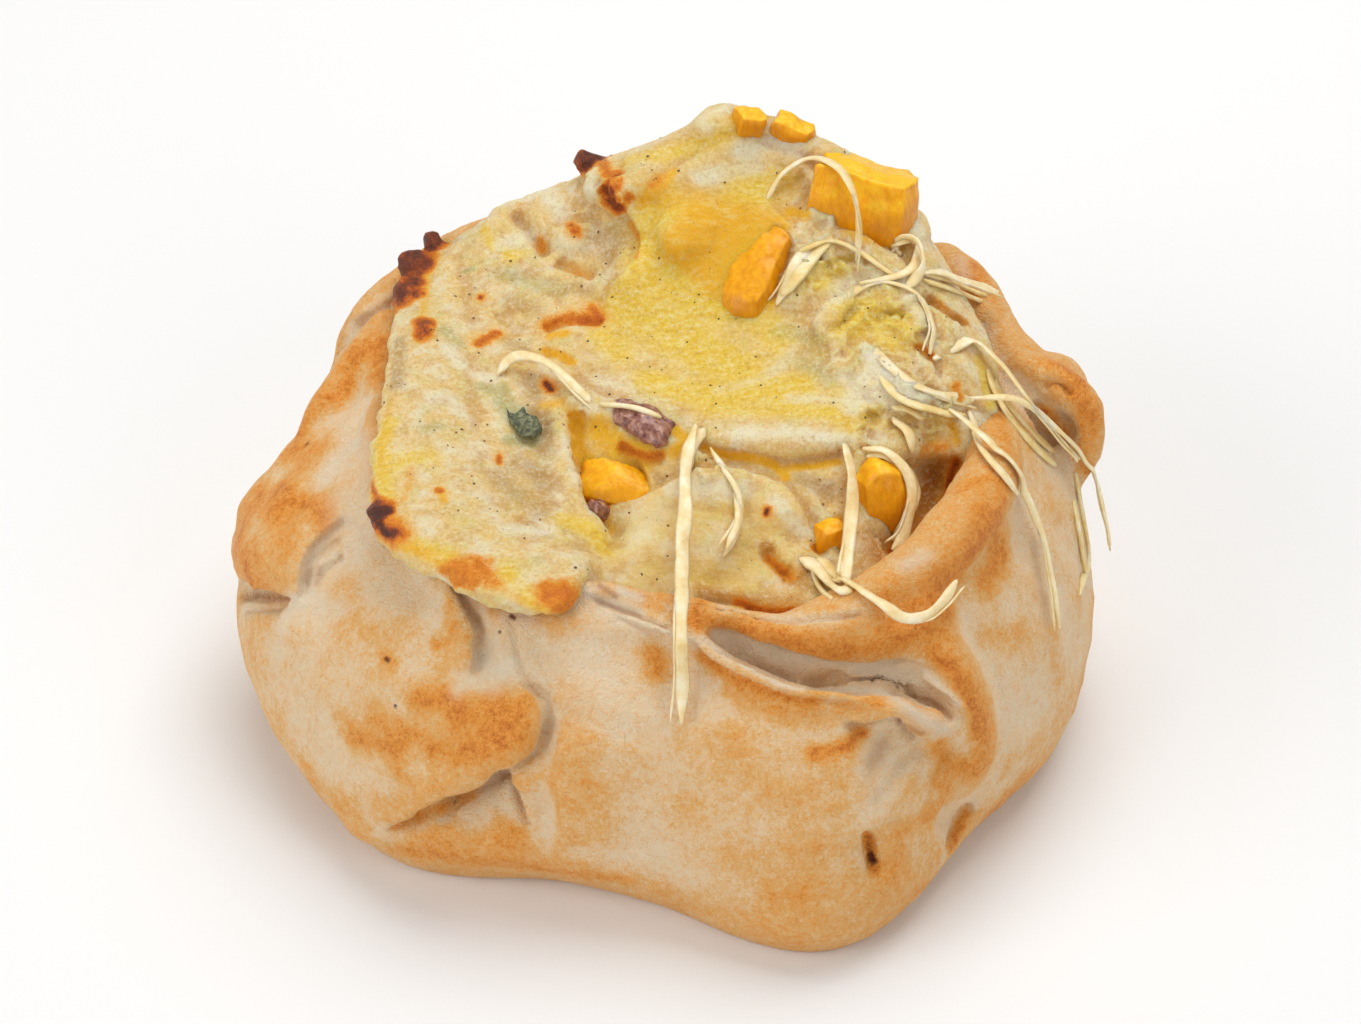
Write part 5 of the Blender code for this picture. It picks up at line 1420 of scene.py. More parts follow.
# Spots on the top of the filling, in millimetres: the ridge at the back and the slope below it,
# the melted pool, the ledge in front of the pool, the left, the right and the back.
HEAP = (
    (-4.4, 30.7, 49.0), (6.2, 30.2, 55.0), (11.2, 30.0, 54.0), (14.4, 29.7, 53.0), (17.7, 28.2, 52.0),
    (24.0, 25.8, 48.8), (27.4, 19.6, 44.0), (-1.2, 25.2, 49.0), (3.9, 26.0, 51.0), (9.1, 27.1, 51.5),
    (14.4, 26.5, 50.0), (-2.3, 21.5, 44.0), (10.1, 21.3, 48.0), (22.6, 20.5, 46.0), (-2.3, 16.2, 41.5),
    (-1.2, 12.0, 39.5), (22.2, 6.6, 41.0), (5.9, 3.9, 38.0), (17.9, 0.9, 39.0), (23.9, 0.3, 39.5),
    (-2.2, -1.0, 37.3), (9.8, -3.1, 37.7), (19.8, -4.4, 37.5),
    (-6.2, -5.1, 33.5), (2.8, -7.3, 34.0), (16.8, -9.0, 33.5), (-4.2, -12.6, 32.0), (1.8, -13.2, 32.5),
    (17.6, -14.5, 31.0), (3.7, -17.9, 30.0),
    (-21.8, 10.5, 38.0), (-21.2, -5.6, 36.0), (-12.1, -10.0, 35.0), (-9.1, -15.0, 33.6),
    (-17.9, -15.6, 33.6), (-24.9, 10.5, 36.6), (-23.4, 23.1, 38.6), (-19.2, 26.8, 41.5),
    (-15.1, 30.1, 43.0), (-8.6, 25.8, 43.5), (-7.5, 20.3, 41.0),
    (26.0, -4.1, 34.0), (29.0, -1.4, 37.0), (30.4, 8.9, 40.5), (31.3, 4.9, 38.5),
    (-3.0, 35.4, 42.5), (5.0, 36.0, 43.0), (13.0, 34.6, 43.0), (21.0, 31.5, 42.0), (28.0, 27.0, 41.0),
    (31.0, 21.0, 39.5), (-18.0, 31.0, 40.5),
)
# How much further than the rim's inner edge the filling bulges, by direction in degrees.
REACH = ((0, 0.0), (30, 1.0), (48, 2.4), (65, 1.2), (90, 0.4), (130, 0.4), (180, 0.0), (270, 0.0))


class Heap:
    """The top of the filling: a smooth sheet near all the spots (a thin-plate spline)."""

    def __init__(self, spots, slack=0.6):
        spots = np.asarray(spots, float)
        self.at = spots[:, :2]
        count = len(spots)
        system = np.zeros((count + 3, count + 3))
        system[:count, :count] = self.bend(self.at) + np.eye(count) * slack
        flat = np.column_stack([np.ones(count), self.at])
        system[:count, count:] = flat
        system[count:, :count] = flat.T
        self.weights = np.linalg.solve(system, np.concatenate([spots[:, 2], np.zeros(3)]))

    def bend(self, at):
        away = np.linalg.norm(at[:, None] - self.at[None], axis=2)
        return away**2 * np.log(away + 1e-9)

    def height(self, at):
        at = np.asarray(at, float).reshape(-1, 2)
        flat = np.column_stack([np.ones(len(at)), at])
        return self.bend(at) @ self.weights[:-3] + flat @ self.weights[-3:]


def filling_reach(angles):
    """How far out the filling's top goes in some directions, a little into the rim."""
    rim = wall_fields(angles)[3]
    extra = around([s[0] for s in REACH], [s[1] for s in REACH], angles)
    return rim - 2 * RIM_ROLL + 1.6 + extra


def filling_body(heap, turns=120, top_steps=46, side_steps=44):
    """The heap of filling, from its top down the inside of the pastry to the floor."""
    angles = np.arange(turns) * 360.0 / turns
    foot, belly, _, rim, rim_height = wall_fields(angles)
    reach = filling_reach(angles)
    grid = np.empty((turns, top_steps + side_steps, 3))
    for k, angle in enumerate(np.radians(angles)):
        way = np.array([math.cos(angle), math.sin(angle)])
        radii = np.linspace(0, reach[k], top_steps)
        top = heap.height(radii[:, None] * way)
        inner = rim[k] - 2 * RIM_ROLL
        side = [
            (reach[k], top[-1] - 0.4),
            (max(inner + 1.4, reach[k] - 3), min(rim_height[k] + 1.5, top[-1] - 0.8)),
            (inner + 0.4, rim_height[k] - 4),
            (min(belly[k] - WALL_THICK, inner + 1) + 1.2, rim_height[k] * 0.5),
            (foot[k] - WALL_THICK - 2, FLOOR_THICK + 1),
            (foot[k] * 0.5, FLOOR_THICK - 1),
            (0, FLOOR_THICK - 1),
        ]
        side = even_steps(cut_corners(side, 2), side_steps)
        grid[k, :top_steps, :2] = radii[:, None] * way
        grid[k, :top_steps, 2] = top
        grid[k, top_steps:, :2] = side[:, :1] * way
        grid[k, top_steps:, 2] = side[:, 1]
    return ringed("filling body", grid)


print("spots under the heap's top:", len(HEAP))

# %% [markdown]
# Lumps of potato, a draped slab of melted cheese and its browned knobs are sunk into the heap, and
# so is a collar under each block of squash, as the cheese creeps up its sides. One skin is drawn
# over them all.

# %% Cheese, lumps and knobs
# The melted cheese over the left of the rim, line by line from the inside out.
SLAB = (
    (
        (-18, 25.5, 38.2), (-18.5, 19, 38), (-19.5, 11, 37.2), (-19.5, 3, 36.2), (-18, -5, 35),
        (-14.5, -11, 33.6), (-10.5, -14.5, 32.8), (-6.5, -16.5, 32),
    ),
    (
        (-22, 27, 38.6), (-23.8, 19.5, 38.2), (-24.6, 9, 37.8), (-24.8, -3, 36.4), (-23.4, -10.5, 35.2),
        (-18.2, -16.2, 34.2), (-12.8, -19.4, 33.6), (-7, -19.4, 33.2),
    ),
    (
        (-24.6, 28.2, 37.4), (-27.6, 20.6, 36.9), (-28.5, 6.8, 36.7), (-29, -7.5, 35),
        (-28.4, -13.6, 33.2), (-21.2, -20.2, 32.4), (-14.2, -24, 32.2), (-8.6, -23.4, 32.4),
    ),
)
# Lumps in the filling: where in plan, half sizes along and across, height out of it, and turn.
LUMPS = (
    (6.2, 29.4, 3.4, 2.6, 1.0, 20), (9.4, 29.4, 2.6, 1.9, 0.7, -30), (13.6, 28.4, 3.6, 2.2, 0.7, -25),
    (-4.6, 28.6, 4.4, 2.8, 0.7, 40), (-0.4, 26.6, 4.2, 2.6, 0.6, 30), (3.8, 22.6, 6.2, 3.6, 0.9, 62),
    (-2.2, 20.6, 5.2, 3.0, 0.7, 80), (0.6, 15.8, 4.2, 2.4, 0.4, 20), (25.2, 22.6, 3.4, 2.8, 0.9, -60),
    (26.6, 19.0, 3.4, 2.4, 0.8, -70), (22.6, 16.6, 4.6, 2.4, 0.7, -10), (16.4, 15.0, 4.0, 2.2, 0.6, 20),
    (27.4, 12.0, 4.0, 2.6, 0.8, -40), (29.6, 6.4, 3.6, 2.4, 0.6, -70), (24.4, 3.2, 4.2, 2.6, 0.5, 15),
    (22.6, -2.4, 3.2, 2.2, 0.6, -20), (-15.4, 28.4, 4.2, 2.8, 0.8, 35), (-10.8, 29.4, 3.6, 2.4, 0.7, -10),
    (-8.8, 25.8, 3.2, 2.4, 0.6, 60), (-14.2, 23.2, 4.2, 2.6, 0.7, 10), (-8.6, 20.2, 3.6, 2.4, 0.6, -30),
    (-17.6, 19.2, 3.6, 2.4, 0.7, 75), (-12.2, 15.4, 3.8, 2.4, 0.6, 30), (-19.4, 12.0, 4.0, 2.6, 0.6, 70),
    (-15.6, 6.8, 3.8, 2.6, 0.5, 15), (-19.0, -1.8, 3.8, 2.6, 0.6, 80), (-14.0, -3.4, 4.2, 2.6, 0.7, -20),
    (-10.6, 2.4, 3.4, 2.2, 0.6, 40), (-16.6, -9.6, 3.6, 2.6, 0.6, 50), (-11.2, -7.4, 4.2, 2.6, 0.8, -50),
    (-13.0, -14.6, 3.6, 2.2, 0.5, 30), (-8.0, -11.6, 3.2, 2.2, 0.7, -40), (-1.4, -12.2, 6.2, 4.4, 1.8, 15),
    (4.8, -11.4, 6.6, 4.8, 2.0, -10), (10.4, -13.2, 5.0, 3.8, 1.4, -35), (12.4, -8.2, 4.8, 3.4, 1.2, 20),
    (16.8, -9.0, 3.8, 2.8, 0.8, -60), (7.0, -17.4, 4.6, 2.8, 0.8, 0), (18.0, -14.8, 4.0, 2.8, 0.9, 30),
    (1.4, -16.6, 4.4, 2.8, 0.7, -10), (2.0, -1.6, 5.0, 2.0, 0.7, -12), (11.4, -2.6, 5.6, 2.0, 0.8, -4),
)
# Browned knobs on the edges of the cheese: centre and half sizes.
NUBS = (
    ((-24.4, 27.6, 39.4), (1.2, 1.3, 1.3)), ((-26.2, 24.2, 38.8), (1.9, 1.9, 1.7)),
    ((-26.6, 20.0, 38.4), (1.6, 1.9, 1.5)), ((-24.6, 12.6, 38.8), (0.9, 1.6, 1.0)),
    ((-28.0, -11.8, 34.6), (1.4, 1.4, 1.2)), ((-18.6, -19.6, 33.8), (2.2, 1.6, 1.2)),
    ((-10.2, -22.6, 33.2), (1.9, 1.7, 1.2)), ((-7.6, 31.0, 47.4), (1.9, 1.2, 1.2)),
    ((-4.4, 25.6, 47.2), (1.5, 1.5, 1.6)),
)


def thicken(name, grid, half):
    """A closed sheet round grid[u, v, xyz], half thick each way, rounded off at its edges."""
    u_way, v_way = np.gradient(grid, axis=0), np.gradient(grid, axis=1)
    normal = unit(np.cross(u_way, v_way), TINY)
    u_size = np.linalg.norm(u_way, axis=2)
    v_size = np.linalg.norm(v_way, axis=2)
    u_edge = np.minimum(np.cumsum(u_size, axis=0), np.cumsum(u_size[::-1], axis=0)[::-1]) - u_size
    v_edge = np.minimum(np.cumsum(v_size, axis=1), np.cumsum(v_size[:, ::-1], axis=1)[:, ::-1]) - v_size
    inset = np.clip(np.minimum(u_edge, v_edge) / half, 0, 1)
    thick = (half * np.sqrt(1 - (1 - inset) ** 2) + 0.02)[:, :, None]
    return closed_sheet(name, grid + normal * thick, grid - normal * thick)


def draped(name, lines, half, rows=90, cols=26):
    """A sheet of melted cheese laid through lines of points, from its inner line outwards."""
    rails = np.stack([even_steps(through(line), rows) for line in lines])
    grid = np.stack([even_steps(through(rails[:, k], 6), cols) for k in range(rows)])
    return thicken(name, grid, half)


heap = Heap(HEAP)
pieces = [filling_body(heap), draped("slab", SLAB, 1.3)]
for x, y, length, width, rise, turn in LUMPS:
    z = heap.height((x, y))[0] - width * 0.8 + rise * 0.5
    pieces.append(lump("lump", (x, y, z), (length, width, width * 0.8), (0, 0, turn)))
pieces += [lump("nub", centre, radii) for centre, radii in NUBS]
for name, (centre, size, turn) in CHUNKS.items():
    if name.startswith("squash"):
        sunk = np.array(centre) - (0, 0, 0.4 * size[2])
        pieces.append(lump("collar", sunk, np.array(size) * 0.66, turn))
filling = fuse("filling", pieces, FILLING_VOXEL, 2)
print("filling without its films:", triangles(filling), "triangles")

# %% [markdown]
# Films of melted cheese hang between the heap and the blocks. Each is a thin sheet between two lines
# of the photo's pixels, laid over both with an uneven edge, and then the skin is drawn once more.

# %% Films of melted cheese
class Film(NamedTuple):
    """Melted cheese between two lines of pixels, each with how far it stands off."""

    one: tuple
    other: tuple
    lifts: tuple
    half: float


FILMS = {
    "foot of the top squash": Film(
        ((798, 250), (816, 235), (834, 227), (852, 226), (870, 236), (887, 252), (902, 262)),
        ((806, 280), (825, 276), (845, 274), (868, 280), (888, 290), (905, 296), (915, 300)),
        (0.5, 0.1), 0.6,
    ),
    "right of the slope": Film(
        ((808, 206), (796, 230), (783, 260), (774, 302)),
        ((842, 214), (824, 240), (810, 272), (802, 314)), (0.3, 0.1), 0.55,
    ),
    "above the front squash": Film(
        ((560, 376), (590, 392), (620, 402)), ((568, 410), (590, 422), (612, 424)), (0.2, 0.3), 0.55
    ),
    "tuft": Film(
        ((866, 343), (888, 370), (925, 393), (972, 401)),
        ((846, 372), (870, 402), (905, 418), (950, 424)), (0.9, 0.1), 0.55,
    ),
    "front sheet": Film(
        ((694, 440), (716, 456), (746, 466)), ((698, 500), (722, 514), (742, 512)), (0.3, 0.1), 0.5
    ),
    "mound": Film(
        ((815, 335), (822, 312), (845, 294), (880, 286), (912, 294), (930, 322)),
        ((835, 362), (846, 342), (862, 326), (882, 318), (900, 330), (908, 352)), (0.9, 0.1), 0.6,
    ),
}


def one_skin(objects):
    """A search tree over the faces of several objects together, in millimetres."""
    points, faces, start = [], [], 0
    for obj in objects:
        faces += [[start + i for i in polygon.vertices] for polygon in obj.data.polygons]
        points.append(points_of(obj))
        start += len(points[-1])
    return BVHTree.FromPolygons(np.concatenate(points).tolist(), faces)


def lifted(skin, pixels, lifts):
    """The places that pixels show, each lifted off the surface."""
    found = [spot(skin, pixel) for pixel in pixels]
    return np.array([place + normal * lift for (place, normal), lift in zip(found, lifts, strict=True)])


def film(name, skin, shape, seed, rows=30, cols=9):
    """The sheet that a Film describes, with an uneven edge."""
    edges = []
    for pixels, lift in zip((shape.one, shape.other), shape.lifts, strict=True):
        line = even_steps(through(pixels, 6), rows)
        wander = [waves(np.insert(line, 2, k, axis=1), 9, seed) for k in (0, 50)]
        edges.append(lifted(skin, line + 2.5 * np.stack(wander, axis=1), np.full(rows, lift)))
    share = np.linspace(0, 1, cols)[None, :, None]
    return thicken(name, edges[0][:, None] * (1 - share) + edges[1][:, None] * share, shape.half)


laid = one_skin([filling, *blocks])
films = [film("film", laid, shape, 80 + k) for k, shape in enumerate(FILMS.values())]
filling = fuse("filling", [filling, *films], FILLING_VOXEL, 1)
keep_largest(filling)
print("filling with", len(films), "films:", triangles(filling), "triangles")
thin_hidden(filling, points_of(filling)[:, 2] < FILLING_SEEN_FROM, 0.6)
print("filling after thinning:", triangles(filling))

# %% [markdown]
# Where cheese has run and set, it ends in an edge, and between lumps there are deep, wet hollows.
# They are pressed in like the folds of the dough, along lines of the photo's pixels.

# %% Edges and hollows of the filling
# Each edge or hollow is given by x and y of its pixels in turn.
RUNS = {
    "right edge of the slab": fold(
        602, 556, 611, 536, 600, 518, 584, 500, 585, 483, 575, 462, 571, 432, 566, 402,
        rise=1.1, dip=1.4, edge=0.5, groove=1.2, reach=3.0,
    ),
    "front of the pool": fold(
        686, 434, 702, 441, 725, 449, 750, 452, 780, 457, 810, 455, 840, 450, 860, 446,
        rise=0.8, dip=0.8, edge=0.5, groove=0.9, reach=4.0,
    ),
    "end of the pool": fold(856, 452, 862, 430, 868, 405, rise=0.2, dip=0.4, edge=0.7, groove=0.8),
    "top of the potato": fold(
        815, 545, 806, 520, 797, 500, 780, 484, 752, 472, 720, 468, 690, 474, 664, 486, 640, 497, 610, 504,
        rise=0.8, dip=0.5, edge=0.6, groove=0.7, reach=4.0,
    ),
    "hollow behind the potato": fold(600, 486, 622, 482, 646, 470, dip=1.5, groove=1.6),
    "under the onion": fold(615, 445, 640, 458, 668, 456, dip=1.0, groove=0.8),
    "hollow in the potato": fold(764, 546, 772, 560, 784, 572, 796, 575, dip=1.8, groove=0.9),
    "right hollow": fold(938, 450, 936, 480, 926, 510, 908, 540, 890, 560, dip=2.6, groove=2.2),
    "right hollow's seam": fold(962, 455, 954, 475, 949, 500, dip=1.2, groove=0.7),
    "beside the right squash": fold(858, 470, 856, 500, 850, 530, 846, 560, dip=1.0, groove=0.8),
    "cut before the low squash": fold(838, 520, 826, 540, 812, 552, dip=0.8, groove=0.8),
    "foot of the filling": fold(690, 598, 740, 602, 770, 612, 810, 612, 850, 600, dip=1.2, groove=0.6),
    "edge of the golden sheet": fold(
        592, 172, 612, 196, 630, 216, 640, 236, 636, 256, 620, 276, 606, 300, 604, 322,
        rise=0.7, dip=0.5, edge=0.6, groove=0.8, reach=2.5,
    ),
    "nook in the ridge": fold(512, 206, 528, 226, 541, 244, 548, 258, dip=1.4, groove=0.8),
    "second nook": fold(556, 258, 574, 268, 596, 276, dip=0.8, groove=0.7),
    "brown line of the pool": fold(540, 330, 560, 322, 580, 318, 606, 322, dip=0.9, groove=0.6),
    "left of the pool": fold(541, 348, 556, 352, 574, 362, dip=0.5, groove=0.8),
    "upper band": fold(
        834, 202, 806, 164, 772, 150, 740, 140, 715, 146, 690, 160, 664, 178, 640, 200,
        rise=0.6, dip=0.6, edge=0.7, groove=0.8, reach=3.0,
    ),
    "below the first band": fold(
        768, 308, 776, 270, 790, 244, 806, 230,
        rise=0.4, dip=0.6, edge=0.5, groove=0.6,
    ),
    "pit by the squash": fold(806, 262, 820, 254, dip=0.9, groove=0.6),
    "second pit": fold(824, 268, 842, 260, 858, 256, dip=0.5, groove=0.6),
    "third pit": fold(836, 330, 850, 312, 858, 302, dip=0.5, groove=0.6),
    "fourth pit": fold(876, 318, 895, 312, 908, 318, dip=0.6, groove=0.6),
    "slit on the right": fold(921, 290, 935, 302, 950, 312, 968, 324, dip=1.4, groove=0.6),
    "cracks on the right": fold(914, 344, 930, 352, 938, 364, 942, 380, dip=0.7, groove=0.5),
    "second crack": fold(916, 366, 924, 372, 928, 384, 940, 392, 960, 398, dip=0.7, groove=0.5),
    "valley of the slab": fold(500, 300, 520, 330, 530, 365, dip=0.9, groove=2.0),
    "slope of the slab": fold(536, 400, 545, 440, 548, 490, 560, 515, dip=0.9, groove=2.0),
}
# Browned specks, round which the mesh has to be fine too.
SLAB_SPECKS = (
    (548, 386), (767, 513), (480, 297), (487, 338), (372, 508), (386, 530), (499, 459), (440, 491),
)
print("edges and hollows:", len(RUNS), "and specks:", len(SLAB_SPECKS))

# %% Pressing the edges
def grains(points, size):
    """Rounded grains of this size: 1 at the middle of each, falling to 0 between them."""
    return np.array([1 - min(1.0, noise.voronoi(Vector(p) / size)[0][0]) for p in points.tolist()])


CHEESE_FINE_WITHIN = 1.5  # millimetres from a line
rough_cheese = skin_tree(filling)
lines, spots = crease_lines(rough_cheese, RUNS, SLAB_SPECKS, 4)
knobs = [np.array([centre, centre]) + ((0, 0, 0), (0.1, 0, 0)) for centre, _ in NUBS]
refine(filling, lines + spots + knobs, CHEESE_FINE_WITHIN)
press(filling, RUNS.values(), lambda pixels: photo_line(rough_cheese, pixels))
print("filling pressed:", triangles(filling), "triangles")

# %% [markdown]
# The cheese isn't equally rough all over. It is smooth where it melted into a pool, roughest on the
# browned knobs, a tangle where shreds have melted together, and lumpy elsewhere. Strokes say
# where, and noise of several sizes makes the relief. A bump map alone would leave its outline smooth.

# %% Relief of the cheese
# Where the cheese has melted smooth.
SMOOTH = strokes(
    (4.5, 1.0, 630, 290, 680, 330, 740, 360, 810, 385), (2.5, 1.0, 700, 405, 770, 408, 830, 410),
    (3.4, 1.0, 670, 200, 700, 240, 700, 280), (2.4, 1.0, 750, 200, 765, 240, 765, 280),
    (4.0, 1.0, 630, 535, 660, 505, 720, 500, 770, 520), (3.0, 1.0, 650, 560, 700, 560, 740, 560),
    (3.4, 0.9, 640, 150, 700, 140, 760, 165), (4.0, 0.5, 440, 380, 430, 450, 470, 540),
    (3.0, 0.6, 500, 440, 520, 500),
)
# Where the filling is a tangle of shreds that have melted together.
TANGLE = strokes(
    (4.0, 1.0, 830, 268, 880, 284, 920, 320), (2.4, 0.8, 830, 310, 850, 330),
    (3.5, 1.0, 860, 350, 900, 390, 940, 400), (2.5, 0.8, 870, 420, 910, 425),
    (1.6, 0.7, 800, 262, 790, 290), (1.6, 0.6, 700, 455, 715, 480), (1.4, 0.6, 850, 560, 820, 570),
    (3.0, 0.6, 560, 160, 610, 190, 560, 230),
)
# How brown the oven left each knob.
KNOB_HEAT = (0.95, 0.9, 0.9, 0.75, 1.0, 0.46, 0.48, 0.95, 0.85)


def knob_heat(points):
    """How brown the knobs are, falling to 0 a millimetre outside them."""
    heat = np.zeros(len(points))
    for (centre, radii), top in zip(NUBS, KNOB_HEAT, strict=True):
        away = np.linalg.norm((points - centre) / radii, axis=1) + 0.35 * waves(points, 1.3, 15)
        heat = np.maximum(heat, top * smooth_step((1.95 - away) / 1.15))
    return heat


cheese_skin = skin_tree(filling)
smooth = brushed(points_of(filling), cheese_skin, SMOOTH)
pressed = raised(filling, 3)
cheese = points_of(filling) * (1 - smooth[:, None]) + evened(filling, 30) * smooth[:, None]
set_points(filling, cheese)
outward = normals_of(filling)
lumpy, knob = 1 - 0.85 * smooth, knob_heat(cheese)
relief = 0.12 * lumpy * waves(cheese, 3.4, 11) + 0.12 * lumpy * waves(cheese, 1.5, 12) + pressed * smooth
relief += lumpy * (0.2 * grains(cheese, 2.6) + 0.14 * grains(cheese, 1.2)) - 0.2 * lumpy
relief += 0.13 * smooth * waves(cheese * (0.45, 1.6, 1.0), 1.4, 13) + 0.45 * knob * waves(cheese, 1.1, 14)
tangle = brushed(cheese, cheese_skin, TANGLE)
curled = cheese + 0.8 * np.stack([waves(cheese, 3, seed) for seed in (18, 19, 20)], axis=1)
relief += 0.55 * tangle * smooth_step(1 - np.abs(waves(curled, 2.2, 21)) / 0.22)
slab_edge = np.exp(-((to_line(cheese, through(SLAB[2])) / 1.8) ** 2))
ragged = slab_edge * (0.8 * waves(cheese, 2.6, 16) + 0.5 * waves(cheese, 1.2, 17))
flat = unit(cheese * (1, 1, 0))
set_points(filling, cheese + outward * relief[:, None] + flat * ragged[:, None])
shade_smooth(filling)
print("filling:", triangles(filling), "triangles with", len(RUNS), "edges and hollows")

# %% [markdown]
# The photo shows eight kinds of surface on the filling. Each has strokes of its own: a lemon
# yellow pool, gold where squash shines through, olive pits, pale cream, green herb stains, tan
# places where the cheese is thin, amber painted shade in the hollows, and what the oven browned.
# A ninth mask tells crests from dips: cheese is paler where it is thick, and the dips get painted
# amber shade. A tenth says where it is sleek, so that less froth and fewer curds show in its colour.

# %% Strokes for the filling
YELLOW = strokes(
    (3.6, 0.35, 620, 545, 660, 520, 720, 508, 765, 530), (2.6, 0.3, 660, 572, 740, 568),
    (2.4, 0.25, 440, 470, 470, 520, 520, 560), (3.2, 0.75, 655, 205, 690, 215, 725, 210, 755, 195),
    (3.0, 0.8, 650, 240, 680, 270, 690, 300), (3.4, 0.45, 820, 275, 870, 300, 905, 330),
    (2.0, 0.5, 740, 180, 790, 178), (1.8, 0.6, 840, 330, 870, 325),
    (3.0, 0.9, 620, 300, 660, 330, 700, 350, 740, 370), (2.0, 0.7, 600, 335, 620, 355),
    (2.2, 0.85, 650, 380, 700, 395, 760, 390, 800, 385), (2.4, 0.75, 700, 300, 760, 320, 780, 340),
    (1.0, 0.9, 665, 325, 690, 340, 700, 360), (1.6, 0.6, 790, 400, 830, 410, 850, 430),
    (2.2, 0.7, 640, 265, 660, 290), (1.6, 0.6, 710, 410, 780, 412, 840, 405),
    (1.4, 0.8, 388, 425, 380, 450, 386, 500), (1.5, 0.6, 400, 462, 430, 455),
    (1.3, 0.75, 415, 545, 450, 558), (1.3, 0.75, 505, 572, 530, 596, 545, 604),
    (1.2, 0.85, 565, 520, 590, 530, 604, 548), (1.4, 0.7, 630, 160, 690, 148, 740, 128),
    (0.8, 0.75, 478, 215, 486, 232, 494, 248), (0.9, 0.5, 500, 195, 515, 192),
    (2.0, 0.4, 860, 350, 840, 385), (0.9, 0.8, 980, 360, 990, 405), (1.4, 0.3, 760, 590, 700, 585),
    (1.6, 0.7, 840, 300, 858, 300, 850, 318), (1.4, 0.5, 880, 318, 900, 330, 890, 345),
    (1.2, 0.5, 820, 282, 840, 272), (1.8, 0.4, 850, 400, 880, 420, 900, 425),
    (1.2, 0.3, 905, 400, 935, 420),
)
GOLD = strokes(
    (1.4, 0.7, 748, 230, 742, 262, 735, 285), (1.2, 0.5, 690, 215, 672, 240),
    (0.7, 0.6, 430, 262, 424, 300, 420, 340), (0.7, 0.5, 392, 400, 384, 430, 380, 470),
    (0.8, 0.7, 398, 545, 430, 556, 452, 572), (0.7, 0.6, 500, 588, 520, 600, 548, 610),
    (1.6, 0.8, 690, 250, 715, 262, 740, 290, 750, 300), (1.6, 0.5, 670, 235, 690, 262),
    (2.2, 0.55, 660, 195, 700, 200, 740, 215), (1.2, 0.85, 702, 215, 696, 240, 682, 252),
    (1.2, 0.65, 665, 255, 690, 246), (1.5, 1.0, 700, 265, 722, 262, 745, 250, 772, 232),
    (1.6, 0.95, 715, 285, 740, 272, 765, 258), (1.8, 0.7, 700, 225, 725, 228, 750, 222),
    (2.0, 0.8, 730, 250, 755, 240, 775, 225), (1.8, 0.9, 745, 285, 758, 270, 768, 250),
    (1.2, 0.9, 735, 304, 760, 288, 768, 302), (0.8, 0.8, 790, 212, 806, 214),
    (0.7, 1.0, 546, 352, 560, 356, 572, 363), (0.7, 0.9, 550, 336, 566, 333),
    (1.3, 0.95, 575, 418, 577, 450, 590, 466), (1.7, 0.95, 598, 428, 620, 448, 640, 452),
    (1.5, 0.95, 600, 470, 640, 466, 640, 490), (0.8, 1.0, 668, 425, 686, 440, 674, 452),
    (0.6, 1.0, 705, 448, 725, 456, 750, 457, 775, 466, 785, 477), (0.6, 1.0, 790, 468, 815, 466, 838, 462),
    (1.0, 0.6, 545, 405, 560, 402), (0.8, 0.95, 735, 118, 745, 131), (0.5, 0.95, 755, 118, 766, 116),
    (0.7, 0.8, 642, 204, 656, 190, 673, 172), (0.7, 0.8, 950, 420, 957, 440),
    (0.5, 1.0, 932, 300, 950, 313, 966, 322), (0.5, 0.85, 440, 489, 444, 502),
    (0.8, 0.6, 606, 515, 612, 530), (0.9, 0.7, 840, 205, 850, 232, 880, 245),
)
OLIVE = strokes(
    (0.5, 1.0, 826, 264, 842, 260, 858, 256), (0.6, 1.0, 836, 328, 850, 316, 858, 304),
    (0.55, 1.0, 880, 317, 895, 312, 908, 317), (1.2, 0.6, 735, 318, 748, 312),
    (0.8, 0.8, 865, 418, 880, 410), (0.9, 0.9, 766, 552, 776, 564, 790, 573),
    (1.0, 0.3, 620, 330, 650, 345), (1.0, 0.5, 815, 340, 822, 352), (1.0, 0.3, 760, 350, 772, 362),
    (0.8, 0.6, 940, 415, 930, 440),
)
PALE = strokes(
    (1.0, 1.0, 448, 348, 460, 364), (1.2, 0.7, 430, 395, 452, 400), (1.0, 0.6, 440, 445, 470, 456),
    (0.9, 0.7, 475, 375, 495, 380), (1.0, 0.7, 505, 530, 550, 530), (1.4, 0.7, 545, 190, 562, 215),
    (1.2, 0.7, 500, 245, 530, 236), (1.0, 0.6, 556, 246, 590, 248), (1.0, 0.7, 590, 178, 588, 200),
    (1.1, 0.95, 740, 152, 772, 144, 800, 152), (1.1, 0.6, 700, 178, 760, 168),
    (1.1, 0.7, 740, 432, 800, 434, 850, 440), (1.0, 0.6, 790, 398, 850, 402),
    (1.0, 0.8, 862, 378, 852, 410), (1.0, 0.45, 720, 390, 770, 376, 790, 350),
    (1.0, 1.0, 906, 200, 918, 232), (1.0, 0.6, 690, 122, 720, 110), (2.2, 0.5, 660, 512, 640, 530),
    (1.4, 0.7, 700, 488, 745, 490), (1.0, 0.6, 775, 500, 802, 532), (0.8, 0.7, 566, 440, 575, 480),
    (1.4, 0.5, 860, 290, 830, 300), (1.2, 0.4, 560, 555, 500, 600),
    (1.2, 0.9, 868, 345, 876, 368, 900, 384, 926, 396), (1.2, 0.7, 840, 285, 880, 276, 912, 288),
    (1.4, 0.7, 846, 378, 868, 395, 890, 402), (0.9, 0.6, 815, 322, 824, 306, 842, 294),
    (1.2, 0.5, 905, 300, 925, 322, 932, 345),
)
